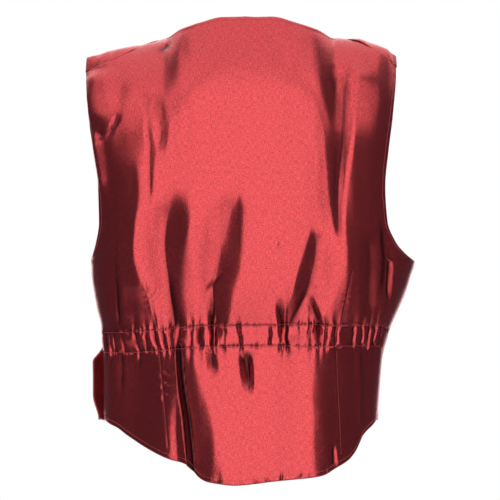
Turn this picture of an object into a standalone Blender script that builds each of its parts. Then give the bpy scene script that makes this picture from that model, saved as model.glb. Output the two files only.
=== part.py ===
# Waistcoat in red satin, kept in the hollow form it has on a figure, with the figure left out.
#
# Pieces: a back cut in one with two waist darts, two fronts that button over each other, an elastic
# casing sewn inside the back, and five covered buttons. Every cloth piece is a wall over one torso
# surface, described by level sections and by a crest line over the shoulders.
#
# Metres, +Z up, front of the garment towards -Y, the wearer's left at +X. The origin is midway
# between the two points where the shoulder seams meet the neckline.

import math

import bmesh
import bpy
import numpy as np

WALL = 0.0020
SEAM_GAP = 0.0004
CASING_WALL = 0.0015
OVERLAP = 0.0125
SHOULDER_ROLL = 0.130
UNDERARM = -0.289
V_POINT = -0.195
NECK_BACK_DEPTH = 0.057
NECK_LEFT = 0.106
NECK_RIGHT = 0.118
CASING_HEIGHT = 0.0255
CASING_SIDE_TOP = -0.3815
BUTTON_RADIUS = 0.009
BUTTON_RISE = 0.0050
BUTTON_HEIGHTS = (-0.222, -0.288, -0.354, -0.420, -0.486)
ARC_STEPS = 97
PROBE = 0.0012

# Level sections of the torso: half widths to the wearer's left and right, depths behind and in
# front of the side seams, and the exponent of the curve that joins width to depth.
SECTIONS = {
    "height": (0.040, -0.020, -0.084, -0.149, -0.213, -0.259, -0.289, -0.311, -0.332, -0.352,
               -0.373, -0.396, -0.415, -0.445, -0.494, -0.575),
    "left": (0.2080, 0.2110, 0.2140, 0.2140, 0.2100, 0.2050, 0.2015, 0.2000, 0.1965, 0.1930,
             0.1880, 0.1865, 0.1850, 0.1845, 0.1845, 0.1845),
    "right": (0.1970, 0.2000, 0.2040, 0.2040, 0.2020, 0.2090, 0.2190, 0.2130, 0.2060, 0.1980,
              0.1885, 0.1810, 0.1770, 0.1745, 0.1715, 0.1700),
    "back": (0.0770, 0.0860, 0.1010, 0.1110, 0.1130, 0.1100, 0.1070, 0.1050, 0.1010, 0.0960,
             0.0890, 0.0870, 0.0900, 0.0950, 0.1010, 0.1060),
    "front": (0.0850, 0.0950, 0.1120, 0.1240, 0.1270, 0.1240, 0.1210, 0.1190, 0.1170, 0.1150,
              0.1130, 0.1120, 0.1120, 0.1140, 0.1160, 0.1180),
    "exponent": (2.20, 2.35, 2.50, 2.55, 2.55, 2.50, 2.45, 2.40, 2.35, 2.30,
                 2.25, 2.25, 2.25, 2.25, 2.25, 2.25),
}

# Height of the ridge over the shoulders at distances from the middle.
CREST_LEFT = {
    "across": (0.000, 0.030, 0.058, 0.082, 0.106, 0.122, 0.139, 0.158, 0.173, 0.1935, 0.205,
               0.220),
    "height": (0.0635, 0.0600, 0.0440, 0.0250, 0.0000, -0.0045, -0.0085, -0.0124, -0.0160,
               -0.0205, -0.0240, -0.0300),
}
CREST_RIGHT = {
    "across": (0.000, 0.033, 0.065, 0.091, 0.118, 0.144, 0.158, 0.173, 0.182, 0.1935, 0.220),
    "height": (0.0635, 0.0600, 0.0440, 0.0250, 0.0000, -0.0015, -0.0046, -0.0085, -0.0124,
               -0.0215, -0.0350),
}

# How far behind the ridge the shoulder seam runs, as a turn over the shoulder, at distances from
# the neck end of the seam.
SEAM_TURN = {
    "beyond_neck": (0.000, 0.030, 0.060, 0.110),
    "turn": (0.000, 0.250, 0.450, 0.600),
}

# Armhole edges: distance from the middle at each climb up the cloth. The last rows pass the ridge.
BACK_ARMHOLE = {
    "climb": (-0.289, -0.286, -0.279, -0.266, -0.239, -0.194, -0.148, -0.102, -0.035, 0.020),
    "left": (0.2015, 0.1995, 0.1965, 0.1920, 0.1870, 0.1880, 0.1950, 0.2018, 0.2068, 0.2072),
    "right": (0.2190, 0.2130, 0.2040, 0.1920, 0.1800, 0.1770, 0.1815, 0.1880, 0.1940, 0.1950),
}
FRONT_ARMHOLE = {
    "climb": (-0.289, -0.286, -0.279, -0.266, -0.239, -0.194, -0.148, -0.102, -0.035, 0.053,
              0.130),
    "left": (0.2015, 0.1980, 0.1915, 0.1820, 0.1660, 0.1570, 0.1620, 0.1730, 0.1920, 0.2065,
             0.2072),
    "right": (0.2190, 0.2100, 0.1980, 0.1850, 0.1660, 0.1560, 0.1590, 0.1680, 0.1840, 0.1945,
              0.1950),
}

# Hem of the back, from the left side seam to the right one, with the step of the left pleat.
BACK_HEM = {
    "share": (-1.000, -0.920, -0.784, -0.718, -0.690, -0.656, -0.606, -0.514, -0.421, -0.306,
              -0.135, -0.045, 0.058, 0.149, 0.213, 0.255, 0.285, 0.310, 0.403, 0.517, 0.613,
              0.694, 0.775, 0.920, 1.000),
    "height": (-0.4910, -0.4932, -0.5023, -0.5113, -0.5209, -0.5304, -0.5392, -0.5479, -0.5572,
               -0.5606, -0.5643, -0.5668, -0.5687, -0.5668, -0.5644, -0.5595, -0.5520, -0.5430,
               -0.5372, -0.5282, -0.5193, -0.5101, -0.5006, -0.4936, -0.4890),
}

# Upper stitch line of the casing, from the right side seam to the left one.
CASING_LINE = {
    "share": (-1.00, -0.90, -0.75, -0.30, 0.00, 0.25, 0.50, 0.80, 1.00),
    "height": (-0.3830, -0.3765, -0.3715, -0.3695, -0.3700, -0.3715, -0.3765, -0.3805, -0.3815),
}

# Hem of a front, from its centre edge to its side edge.
FRONT_HEM = {
    "share": (0.00, 0.10, 0.30, 0.55, 0.80, 1.00),
    "height": (-0.526, -0.532, -0.525, -0.513, -0.502, -0.4950),
}

# Folds of the back. Each runs from its top to its foot, in girth from the middle and in height,
# with a reach towards the middle and towards the side, a depth into the body (less than nothing
# stands out), how sharp its line is, and the lengths over which its ends die away.
BACK_FOLDS = {
    "name": ("left terrace", "slanting fold", "right flank", "right long crease",
             "left long crease", "right lower valley", "left side hollow", "right side hollow",
             "left pleat", "pleat hollow", "right skirt valley", "right skirt side",
             "comma fold", "left skirt side"),
    "top": ((0.106, -0.179), (0.006, -0.189), (-0.086, -0.239), (-0.119, -0.045),
            (0.130, -0.045), (-0.078, -0.329), (0.172, -0.114), (-0.158, -0.134),
            (0.089, -0.399), (0.066, -0.404), (-0.098, -0.399), (-0.160, -0.404),
            (0.008, -0.396), (0.150, -0.404)),
    "foot": ((0.094, -0.376), (0.040, -0.376), (-0.060, -0.376), (-0.123, -0.354),
             (0.121, -0.239), (-0.100, -0.376), (0.160, -0.334), (-0.170, -0.334),
             (0.073, -0.570), (0.044, -0.570), (-0.106, -0.570), (-0.170, -0.494),
             (-0.016, -0.466), (0.150, -0.510)),
    "inner": (0.046, 0.022, 0.036, 0.026, 0.018, 0.014, 0.030, 0.028,
              0.006, 0.020, 0.032, 0.030, 0.010, 0.034),
    "outer": (0.030, 0.018, 0.014, 0.010, 0.014, 0.010, 0.030, 0.030,
              0.050, 0.018, 0.022, 0.026, 0.014, 0.030),
    "depth": (0.0120, 0.0075, 0.0080, 0.0026, 0.0026, 0.0040, 0.0050, 0.0050,
              -0.0060, 0.0060, 0.0065, 0.0050, 0.0040, 0.0040),
    "sharp": (0.9, 0.4, 0.9, 0.3, 0.3, 0.6, 0.0, 0.0,
              1.0, 0.2, 0.7, 0.3, 0.3, 0.2),
    "top_fade": (0.060, 0.050, 0.060, 0.050, 0.050, 0.030, 0.080, 0.080,
                 0.030, 0.030, 0.030, 0.030, 0.012, 0.040),
    "foot_fade": (0.010, 0.020, 0.020, 0.040, 0.050, 0.010, 0.060, 0.060,
                  0.001, 0.001, 0.001, 0.040, 0.040, 0.060),
}

# Soft folds of the fronts, girth measured from the middle of the front towards the side.
FRONT_FOLDS = {
    "name": ("chest fold", "waist fold", "skirt fold"),
    "top": ((0.105, -0.220), (0.080, -0.320), (0.110, -0.400)),
    "foot": ((0.088, -0.392), (0.062, -0.430), (0.120, -0.540)),
    "inner": (0.030, 0.022, 0.030),
    "outer": (0.024, 0.018, 0.026),
    "depth": (0.0055, 0.0035, 0.0045),
    "sharp": (0.4, 0.3, 0.3),
    "top_fade": (0.080, 0.050, 0.050),
    "foot_fade": (0.030, 0.050, 0.001),
}

# Gathers the elastic draws into the back: girth of each valley on the casing, how deep it lies,
# and how far it runs above and below the casing.
GATHERS = {
    "girth": (0.203, 0.190, 0.179, 0.166, 0.156, 0.141, 0.131, 0.121, 0.104, 0.091, 0.074,
              0.063, 0.053, 0.040, 0.021, 0.006, -0.012, -0.029, -0.047, -0.064, -0.080,
              -0.096, -0.110, -0.127, -0.138, -0.151, -0.164, -0.178, -0.192),
    "depth": (0.0030, 0.0038, 0.0030, 0.0034, 0.0036, 0.0030, 0.0034, 0.0036, 0.0048, 0.0044,
              0.0032, 0.0036, 0.0040, 0.0050, 0.0030, 0.0034, 0.0028, 0.0036, 0.0042, 0.0032,
              0.0036, 0.0048, 0.0042, 0.0032, 0.0036, 0.0034, 0.0038, 0.0032, 0.0028),
    "above": (0.014, 0.020, 0.014, 0.018, 0.024, 0.014, 0.018, 0.028, 0.040, 0.030, 0.014,
              0.018, 0.022, 0.036, 0.012, 0.016, 0.012, 0.018, 0.022, 0.014, 0.026,
              0.036, 0.024, 0.016, 0.020, 0.018, 0.024, 0.018, 0.014),
    "below": (0.012, 0.016, 0.012, 0.016, 0.018, 0.012, 0.016, 0.020, 0.028, 0.026, 0.014,
              0.018, 0.022, 0.026, 0.012, 0.024, 0.014, 0.016, 0.020, 0.014, 0.018,
              0.030, 0.024, 0.016, 0.018, 0.016, 0.020, 0.014, 0.012),
}

BACK_COLUMN_LIMIT = 0.0082
BACK_BANDS = (7, 3, 9, 12)
FRONT_COLUMNS = 20
FRONT_BANDS = (6, 2, 6, 13)


def glide(known, values, wanted):
    """Smooth curve through a short table, with no overshoot between its rows."""
    known = np.asarray(known, dtype=float)
    values = np.asarray(values, dtype=float)
    order = np.argsort(known)
    known = known[order]
    values = values[order]
    step = np.diff(known)
    rise = np.diff(values) / step
    slope = np.zeros_like(values)
    same = rise[:-1] * rise[1:] > 0.0
    mean = 2.0 * rise[:-1] * rise[1:] / np.where(same, rise[:-1] + rise[1:], 1.0)
    slope[1:-1] = np.where(same, mean, 0.0)
    slope[0] = rise[0]
    slope[-1] = rise[-1]
    place = np.clip(np.asarray(wanted, dtype=float), known[0], known[-1])
    row = np.clip(np.searchsorted(known, place) - 1, 0, len(step) - 1)
    t = (place - known[row]) / step[row]
    start = (1.0 + 2.0 * t) * (1.0 - t) ** 2 * values[row]
    finish = t * t * (3.0 - 2.0 * t) * values[row + 1]
    lean = t * (1.0 - t) ** 2 * slope[row] - t * t * (1.0 - t) * slope[row + 1]
    return start + finish + lean * step[row]


def soften(share):
    """Ease from 0 to 1."""
    share = np.clip(share, 0.0, 1.0)
    return share * share * (3.0 - 2.0 * share)


def crest(face, across):
    """Height of the ridge over the shoulders. In front it stays low inside the neckline."""
    left = glide(CREST_LEFT["across"], CREST_LEFT["height"], np.abs(across))
    right = glide(CREST_RIGHT["across"], CREST_RIGHT["height"], np.abs(across))
    ridge = np.where(across > 0.0, left, right)
    inside = np.where(across > 0.0, NECK_LEFT, NECK_RIGHT) - np.abs(across)
    return np.where((face < 0) & (inside > 0.0), 0.20 * inside, ridge)


def section(face, sign, height):
    """Half width, depth and exponent of the torso at a height."""
    left = glide(SECTIONS["height"], SECTIONS["left"], height)
    right = glide(SECTIONS["height"], SECTIONS["right"], height)
    width = np.where(sign > 0.0, left, right)
    depth = glide(SECTIONS["height"], SECTIONS["back" if face > 0 else "front"], height)
    return width, depth, glide(SECTIONS["height"], SECTIONS["exponent"], height)


def arcs(width, depth, exponent):
    """Angles of a quarter section and the girth reached at each of them."""
    angle = np.linspace(0.0, math.pi / 2.0, ARC_STEPS)
    power = 2.0 / exponent[..., None]
    x = width[..., None] * np.sin(angle) ** power
    y = depth[..., None] * np.abs(np.cos(angle)) ** power
    length = np.hypot(np.diff(x, axis=-1), np.diff(y, axis=-1))
    start = np.zeros(length.shape[:-1] + (1,))
    return angle, np.concatenate([start, np.cumsum(length, axis=-1)], axis=-1)


def angle_at(girth, width, depth, exponent):
    """Angle on the section where the girth from the middle has the given length."""
    angle, reached = arcs(width, depth, exponent)
    flat = reached.reshape(-1, ARC_STEPS)
    wanted = np.abs(girth).reshape(-1)
    found = [np.interp(wanted[i], flat[i], angle) for i in range(len(wanted))]
    return np.array(found).reshape(np.shape(girth))


def girth_at(across, width, depth, exponent):
    """Girth from the middle out to a distance across."""
    share = np.clip(np.abs(across) / width, 0.0, 1.0)
    wanted = np.arcsin(np.clip(share ** (exponent / 2.0), 0.0, 1.0))
    angle, reached = arcs(width, depth, exponent)
    flat = reached.reshape(-1, ARC_STEPS)
    wanted_flat = wanted.reshape(-1)
    found = [np.interp(wanted_flat[i], angle, flat[i]) for i in range(len(wanted_flat))]
    return np.array(found).reshape(np.shape(across))


def height_of(climb, ridge):
    """Height reached by a climb up the cloth, and how much of the depth is left there."""
    start = ridge - SHOULDER_ROLL
    turn = np.maximum(climb - start, 0.0) / SHOULDER_ROLL
    height = np.where(climb < start, climb, start + SHOULDER_ROLL * np.sin(turn))
    return height, np.cos(turn)


def climb_of(behind, past):
    """Climb, measured from the ridge, of a point that is a turn behind it."""
    turn = math.pi / 2.0 + (behind if past else -behind)
    return SHOULDER_ROLL * (turn - 1.0)


def torso(face, girth, climb):
    """Points of the bare torso surface for girths from the middle and climbs up the cloth."""
    sign = np.where(girth < 0.0, -1.0, 1.0)
    height = np.minimum(climb, 0.0)
    for _ in range(4):
        width, depth, exponent = section(face, sign, height)
        angle = angle_at(girth, width, depth, exponent)
        across = sign * width * np.sin(angle) ** (2.0 / exponent)
        height, left = height_of(climb, crest(face, across))
    other = section(-face, sign, height)[1]
    depth = np.where(left < 0.0, other, depth)
    out = depth * np.abs(np.cos(angle)) ** (2.0 / exponent) * left
    return np.stack([across, face * out, height], axis=-1)


def edge_girth(face, table, climb, sign):
    """Girth of the armhole edge, or of the side seam below it."""
    across = np.where(sign > 0.0, glide(table["climb"], table["left"], climb),
                      glide(table["climb"], table["right"], climb))
    height = height_of(climb, crest(face, sign * across))[0]
    width, depth, exponent = section(face, sign, height)
    full = girth_at(width, width, depth, exponent)
    cut = girth_at(np.minimum(across, width), width, depth, exponent)
    return np.where(climb <= UNDERARM + 1e-6, full, cut) - 0.5 * SEAM_GAP


def fold_depth(folds, girth, height):
    """How far the listed folds push the cloth in at each point."""
    total = np.zeros_like(girth)
    for i in range(len(folds["name"])):
        top_girth, top = folds["top"][i]
        foot_girth, foot = folds["foot"][i]
        along = np.clip((top - height) / (top - foot), 0.0, 1.0)
        middle = top_girth + (foot_girth - top_girth) * along
        outward = 1.0 if top_girth + foot_girth > 0.0 else -1.0
        away = (girth - middle) * outward
        reach = np.where(away > 0.0, folds["outer"][i], folds["inner"][i])
        near = np.clip(1.0 - np.abs(away) / reach, 0.0, 1.0)
        sharp = folds["sharp"][i]
        shape = sharp * near ** 1.6 + (1.0 - sharp) * soften(near)
        ends = soften((top - height) / folds["top_fade"][i])
        ends = ends * soften((height - foot) / folds["foot_fade"][i])
        total += folds["depth"][i] * shape * ends
    return total


def casing_reach():
    """Girth of the casing on each side."""
    sides = []
    for sign in (1.0, -1.0):
        level = np.array([CASING_SIDE_TOP - 0.5 * CASING_HEIGHT])
        width, depth, exponent = section(1, np.array([sign]), level)
        sides.append(float(girth_at(width, width, depth, exponent)[0]))
    return sides


def gather_shares():
    """Places of the gather valleys as shares of the half back."""
    left, right = casing_reach()
    return [g / (left if g > 0.0 else right) for g in GATHERS["girth"]]


def gather_depth(share, height, upper, lower):
    """How far the gathers push the cloth in."""
    valleys = gather_shares()
    total = np.zeros_like(height)
    for i, valley in enumerate(valleys):
        before = valleys[i - 1] if i > 0 else 1.0
        after = valleys[i + 1] if i + 1 < len(valleys) else -1.0
        reach = np.where(share > valley, 0.5 * (before - valley), 0.5 * (valley - after))
        near = np.clip(1.0 - np.abs(share - valley) / reach, 0.0, 1.0)
        above = np.exp(-np.maximum(height - upper, 0.0) / GATHERS["above"][i])
        below = np.exp(-np.maximum(lower - height, 0.0) / GATHERS["below"][i])
        total += GATHERS["depth"][i] * soften(near) * above * below
    stitch = np.exp(-((height - upper) / 0.0035) ** 2) + np.exp(-((height - lower) / 0.0035) ** 2)
    side = soften((1.0 - np.abs(share)) / 0.05)
    return (total + 0.0016 * stitch) * side


def band_rows(levels, bands):
    """Climb of every row: the bands are divided evenly, the last one closer at the underarm."""
    rows = [levels[0]]
    for i, count in enumerate(bands):
        for k in range(1, count + 1):
            share = k / count
            if i == len(bands) - 1:
                share = 0.45 * share + 0.55 * share * share
            rows.append(levels[i] + (levels[i + 1] - levels[i]) * share)
    return np.array(rows)


def facing(face, girth, climb):
    """Unit normals of the bare torso, pointing away from the body."""
    across = torso(face, girth + PROBE, climb) - torso(face, girth - PROBE, climb)
    along = torso(face, girth, climb + PROBE) - torso(face, girth, climb - PROBE)
    normal = face * np.cross(along, across)
    return normal / np.linalg.norm(normal, axis=-1, keepdims=True)


def top_climb(face, girths_of, past):
    """Climb of the upper edge, for a function that gives the girth of each column at a climb."""
    guess = girths_of(0.0)
    across = guess * 1.0
    for _ in range(5):
        neck = np.where(across > 0.0, NECK_LEFT, NECK_RIGHT)
        behind = glide(SEAM_TURN["beyond_neck"], SEAM_TURN["turn"], np.abs(across) - neck)
        climb = crest(face, across) + climb_of(behind, past) - 1.6 * SEAM_GAP
        if not past:
            sign = np.where(across < 0.0, -1.0, 1.0)
            width, depth, exponent = section(face, sign, crest(face, across) * 0.5)
            side = (1.0 - np.clip(np.abs(across) / width, 0.0, 1.0) ** exponent)
            full = np.maximum(depth * side ** (1.0 / exponent), 0.001)
            arch = np.sqrt(np.clip(1.0 - (across / neck) ** 2, 0.0, 1.0))
            left = np.clip(NECK_BACK_DEPTH * arch / full, 0.0, 0.95)
            turn = np.arccos(left)
            neck_climb = crest(face, across) + SHOULDER_ROLL * (turn - 1.0)
            climb = np.where(np.abs(across) < neck, neck_climb, climb)
        across = torso(face, girths_of(climb), climb)[..., 0]
    return climb


def neck_share(sign):
    """Share of the half back whose column ends where the shoulder seam meets the neckline."""
    side = np.array([float(sign)])
    neck = NECK_LEFT if sign > 0 else NECK_RIGHT
    climb = crest(1, side * neck) + climb_of(0.0, False) - 1.6 * SEAM_GAP
    edge = edge_girth(1, BACK_ARMHOLE, climb, side)
    low = 0.2
    high = 0.9
    for _ in range(30):
        middle = 0.5 * (low + high)
        across = abs(float(torso(1, side * middle * edge, climb)[0, 0]))
        if across < neck:
            low = middle
        else:
            high = middle
    return sign * high


def back_columns():
    """Shares of the half back at which columns run: each gather valley, each crown between."""
    left, right = casing_reach()
    places = [1.0]
    for share in gather_shares():
        places.append(share)
    places.append(-1.0)
    marks = []
    for i in range(len(places) - 1):
        marks.append(places[i])
        marks.append(0.5 * (places[i] + places[i + 1]))
    marks.append(-1.0)
    columns = []
    for i in range(len(marks) - 1):
        wide = abs(marks[i] - marks[i + 1]) * left
        parts = max(1, math.ceil(wide / BACK_COLUMN_LIMIT))
        for k in range(parts):
            columns.append(marks[i] + (marks[i + 1] - marks[i]) * k / parts)
    columns.append(-1.0)
    columns = np.array(columns)
    for sign in (1, -1):
        corner = neck_share(sign)
        columns[np.argmin(np.abs(columns - corner))] = corner
    return columns


def back_surface():
    """Base points, facings and fold depths of the back, row by row from the hem."""
    share = back_columns()
    sign = np.where(share < 0.0, -1.0, 1.0)

    def girths_of(climb):
        climb = np.broadcast_to(climb, share.shape).astype(float)
        return share * edge_girth(1, BACK_ARMHOLE, climb, sign)

    hem = glide(BACK_HEM["share"], BACK_HEM["height"], share)
    upper = glide(CASING_LINE["share"], CASING_LINE["height"], share)
    lower = upper - CASING_HEIGHT
    arm = np.full_like(share, UNDERARM)
    top = top_climb(1, girths_of, False)
    climb = band_rows([hem, lower, upper, arm, top], BACK_BANDS)
    girth = np.array([girths_of(row) for row in climb])
    base = torso(1, girth, climb)
    wide = np.broadcast_to(share, climb.shape)
    depth = fold_depth(BACK_FOLDS, girth, climb)
    near_casing = soften((climb - upper) / 0.030) + soften((lower - climb) / 0.025)
    band = BACK_BANDS[0]
    depth = depth * np.clip(0.25 + 0.75 * near_casing, 0.0, 1.0)
    depth = depth + gather_depth(wide, climb, upper, lower)
    depth = depth * soften((1.0 - np.abs(wide)) / 0.05)
    return base, facing(1, girth, climb), depth, band


def front_surface(sign):
    """Base points, facings and fold depths of a front; sign is +1 for the wearer's left."""
    share = np.linspace(0.0, 1.0, FRONT_COLUMNS + 1)
    neck = NECK_LEFT if sign > 0 else NECK_RIGHT
    signs = np.full_like(share, float(sign))
    peak = SHOULDER_ROLL * (math.pi / 2.0 - 1.0)

    def girths_of(climb):
        climb = np.broadcast_to(climb, share.shape).astype(float)
        rising = np.clip((climb - V_POINT) / (peak - 0.035 - V_POINT), 0.0, 1.0)
        inner = -OVERLAP + (neck + OVERLAP) * (1.18 * rising - 0.18 * rising ** 3)
        outer = edge_girth(-1, FRONT_ARMHOLE, climb, signs)
        return sign * (inner + (outer - inner) * share)

    hem = glide(FRONT_HEM["share"], FRONT_HEM["height"], share)
    upper = np.full_like(share, CASING_SIDE_TOP)
    lower = upper - CASING_HEIGHT
    arm = np.full_like(share, UNDERARM)
    top = top_climb(-1, girths_of, True)
    climb = band_rows([hem, lower, upper, arm, top], FRONT_BANDS)
    girth = np.array([girths_of(row) for row in climb])
    base = torso(-1, girth, climb)
    wide = np.broadcast_to(share, climb.shape)
    depth = fold_depth(FRONT_FOLDS, girth * sign, climb) * soften((1.0 - wide) / 0.10)
    if sign > 0:
        lap = soften((0.050 - girth) / 0.025)
        depth = depth - (WALL + SEAM_GAP) * lap
        flare = soften((wide - 0.55) / 0.45) * soften((-0.398 - climb) / 0.022)
        flare = flare * (0.50 + 0.50 * soften((climb + 0.495) / 0.032))
        depth = depth - 0.0145 * flare
    return base, facing(-1, girth, climb), depth


def add_material(name, colour, roughness):
    """Cloth material with its own colour."""
    material = bpy.data.materials.new(name)
    material.use_nodes = True
    shader = material.node_tree.nodes["Principled BSDF"]
    shader.inputs["Base Color"].default_value = colour + (1.0,)
    shader.inputs["Roughness"].default_value = roughness
    shader.inputs["Metallic"].default_value = 0.0
    return material


def add_object(name, points, faces, material):
    """One closed body with its faces outward."""
    mesh = bpy.data.meshes.new(name)
    mesh.from_pydata([tuple(p) for p in points], [], faces)
    body = bmesh.new()
    body.from_mesh(mesh)
    bmesh.ops.recalc_face_normals(body, faces=body.faces)
    if body.calc_volume(signed=True) < 0.0:
        bmesh.ops.reverse_faces(body, faces=body.faces)
    body.to_mesh(mesh)
    body.free()
    mesh.materials.append(material)
    item = bpy.data.objects.new(name, mesh)
    bpy.context.scene.collection.objects.link(item)
    return item


def add_wall(name, outside, inside, material):
    """Closed wall between two grids of points that share their rows and columns."""
    rows, columns = outside.shape[:2]
    count = rows * columns
    points = np.concatenate([outside.reshape(-1, 3), inside.reshape(-1, 3)])
    faces = []
    for r in range(rows - 1):
        for c in range(columns - 1):
            a = r * columns + c
            b = a + 1
            d = a + columns
            e = d + 1
            faces.append((a, b, e))
            faces.append((a, e, d))
            faces.append((count + a, count + e, count + b))
            faces.append((count + a, count + d, count + e))
    rim = [c for c in range(columns)]
    rim += [r * columns + columns - 1 for r in range(1, rows)]
    rim += [(rows - 1) * columns + c for c in range(columns - 2, -1, -1)]
    rim += [r * columns for r in range(rows - 2, 0, -1)]
    for i, here in enumerate(rim):
        after = rim[(i + 1) % len(rim)]
        faces.append((here, count + after, after))
        faces.append((here, count + here, count + after))
    return add_object(name, points, faces, material)


def add_button(name, seat, normal, material):
    """Covered button: a domed disc on a flat foot, standing a seam gap off the cloth."""
    body = bmesh.new()
    profile = ((BUTTON_RADIUS * 0.80, 0.0), (BUTTON_RADIUS, 0.0014),
               (BUTTON_RADIUS * 0.94, 0.0028), (BUTTON_RADIUS * 0.66, 0.0043),
               (BUTTON_RADIUS * 0.30, BUTTON_RISE))
    sides = 18
    rings = []
    for radius, rise in profile:
        ring = []
        for k in range(sides):
            turn = 2.0 * math.pi * k / sides
            ring.append(body.verts.new((radius * math.cos(turn), radius * math.sin(turn), rise)))
        rings.append(ring)
    for low, high in zip(rings, rings[1:]):
        for k in range(sides):
            body.faces.new((low[k], low[(k + 1) % sides], high[(k + 1) % sides], high[k]))
    body.faces.new(rings[0][::-1])
    body.faces.new(rings[-1])
    points = [vertex.co.copy() for vertex in body.verts]
    body.verts.index_update()
    faces = [tuple(v.index for v in face.verts) for face in body.faces]
    body.free()
    out = np.array(normal)
    side = np.cross((0.0, 0.0, 1.0), out)
    side /= np.linalg.norm(side)
    up = np.cross(out, side)
    placed = [np.array(seat) + p.x * side + p.y * up + (p.z + SEAM_GAP) * out for p in points]
    return add_object(name, placed, faces, material)


def button_seats(outside):
    """Places for the buttons on the middle line of the left front, with the way each faces."""
    line = []
    side = []
    for row in outside:
        c = int(np.argmax(row[:, 0] > 0.0)) - 1
        share = -row[c, 0] / (row[c + 1, 0] - row[c, 0])
        line.append(row[c] * (1.0 - share) + row[c + 1] * share)
        side.append(row[c + 1] - row[c])
        if row[0, 0] > -0.5 * OVERLAP:
            break
    line = np.array(line)
    seats = []
    for height in BUTTON_HEIGHTS:
        r = int(np.searchsorted(line[:, 2], height)) - 1
        share = (height - line[r, 2]) / (line[r + 1, 2] - line[r, 2])
        point = line[r] * (1.0 - share) + line[r + 1] * share
        normal = np.cross(side[r], line[r + 1] - line[r])
        normal /= np.linalg.norm(normal)
        seats.append((point + normal * 0.0003, normal))
    return seats


def main():
    for item in list(bpy.data.objects):
        bpy.data.objects.remove(item, do_unlink=True)
    satin = add_material("red_satin", (0.42, 0.028, 0.034), 0.36)
    satin_front = add_material("red_satin_front", (0.42, 0.028, 0.034), 0.36)
    satin_right = add_material("red_satin_right", (0.42, 0.028, 0.034), 0.36)
    tape = add_material("casing_satin", (0.34, 0.022, 0.028), 0.45)

    base, normal, depth, band = back_surface()
    outside = base - normal * depth[..., None]
    add_wall("back", outside, outside - normal * WALL, satin)

    first = band
    last = band + BACK_BANDS[1]
    inner = slice(2, -2)
    rows = slice(first, last + 1)
    strip = outside[rows, inner] - normal[rows, inner] * (WALL + SEAM_GAP)
    add_wall("waist_casing", strip, strip - normal[rows, inner] * CASING_WALL, tape)

    for name, sign, material in (("front_left", 1, satin_front), ("front_right", -1, satin_right)):
        base, normal, depth = front_surface(sign)
        outside = base - normal * depth[..., None]
        add_wall(name, outside, outside - normal * WALL, material)
        if sign > 0:
            seats = button_seats(outside)
    for i, (seat, facing_out) in enumerate(seats):
        button = add_material("button_satin_" + str(i + 1), (0.38, 0.024, 0.030), 0.40)
        add_button("button_" + str(i + 1), seat, facing_out, button)


main()
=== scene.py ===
import math

import bmesh
import bpy
import numpy as np
from mathutils import Matrix, Vector, noise


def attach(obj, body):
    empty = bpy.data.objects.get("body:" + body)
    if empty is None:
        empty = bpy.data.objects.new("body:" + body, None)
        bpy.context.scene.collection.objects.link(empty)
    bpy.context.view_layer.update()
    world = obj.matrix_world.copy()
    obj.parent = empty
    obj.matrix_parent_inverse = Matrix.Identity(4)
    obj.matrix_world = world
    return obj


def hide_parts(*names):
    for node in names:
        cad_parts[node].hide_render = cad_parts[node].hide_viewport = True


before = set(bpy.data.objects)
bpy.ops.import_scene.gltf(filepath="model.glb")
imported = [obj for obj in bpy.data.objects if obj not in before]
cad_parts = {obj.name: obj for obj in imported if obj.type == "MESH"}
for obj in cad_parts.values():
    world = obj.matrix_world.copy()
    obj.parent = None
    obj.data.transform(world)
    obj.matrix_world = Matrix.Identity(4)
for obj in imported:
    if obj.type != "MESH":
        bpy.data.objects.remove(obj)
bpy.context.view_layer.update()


def inMetres(table, *plain):
    # the tables are written in millimetres, apart from the columns named as plain
    def scaled(values):
        if isinstance(values, (tuple, list)):
            return tuple(scaled(value) for value in values)
        return values / 1000.0
    return {name: values if name in plain else scaled(values) for name, values in table.items()}


def readRows(columns, table, *plain):
    rows = table.values() if isinstance(table, dict) else table
    return [inMetres(dict(zip(columns, row)), *plain) for row in rows]


# body form, the same numbers as in the CAD: this table in metres, those below it in millimetres
bodyForm = {
    "wall": 0.0020, "seamGap": 0.0004, "overlap": 0.0125, "shoulderRoll": 0.130,
    "underarm": -0.289, "vPoint": -0.195, "neckBackDepth": 0.057,
    "neckLeft": 0.106, "neckRight": 0.118, "casingHeight": 0.0255, "casingSideTop": -0.3815,
    "arcSteps": 73, "probe": 0.0012,
}
levels = inMetres({
    "height": (40, -20, -84, -149, -213, -259, -289, -311, -332, -352, -373, -396, -415, -445, -494,
        -575),
    "left": (208, 211, 214, 214, 210, 205, 201.5, 200, 196.5, 193, 188, 186.5, 185, 184.5, 184.5, 184.5),
    "right": (197, 200, 204, 204, 202, 209, 219, 213, 206, 198, 188.5, 181, 177, 174.5, 171.5, 170),
    "back": (77, 86, 101, 111, 113, 110, 106.6, 103.5, 99.2, 94.4, 89.6, 87.4, 90, 95, 101, 106),
    "front": (85, 95, 112, 124, 127, 124, 121, 119, 117, 115, 113, 112, 112, 114, 116, 118),
    "exponent": (2.2, 2.35, 2.5, 2.55, 2.55, 2.5, 2.45, 2.4, 2.35, 2.3, 2.25, 2.25, 2.25, 2.25, 2.25,
        2.25),
}, "exponent")
crestLeft = inMetres({
    "across": (0, 30, 58, 82, 106, 122, 139, 158, 173, 193.5, 205, 220),
    "height": (63.5, 60, 44, 25, 0, -4.5, -8.5, -12.4, -16, -20.5, -24, -30),
})
crestRight = inMetres({
    "across": (0, 33, 65, 91, 118, 144, 158, 173, 182, 193.5, 220),
    "height": (63.5, 60, 44, 25, 0, -1.5, -4.6, -8.5, -12.4, -21.5, -35),
})
seamTurn = inMetres({
    "beyondNeck": (0, 30, 60, 110),
    "turn": (0.0, 0.25, 0.45, 0.6),
}, "turn")
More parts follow.
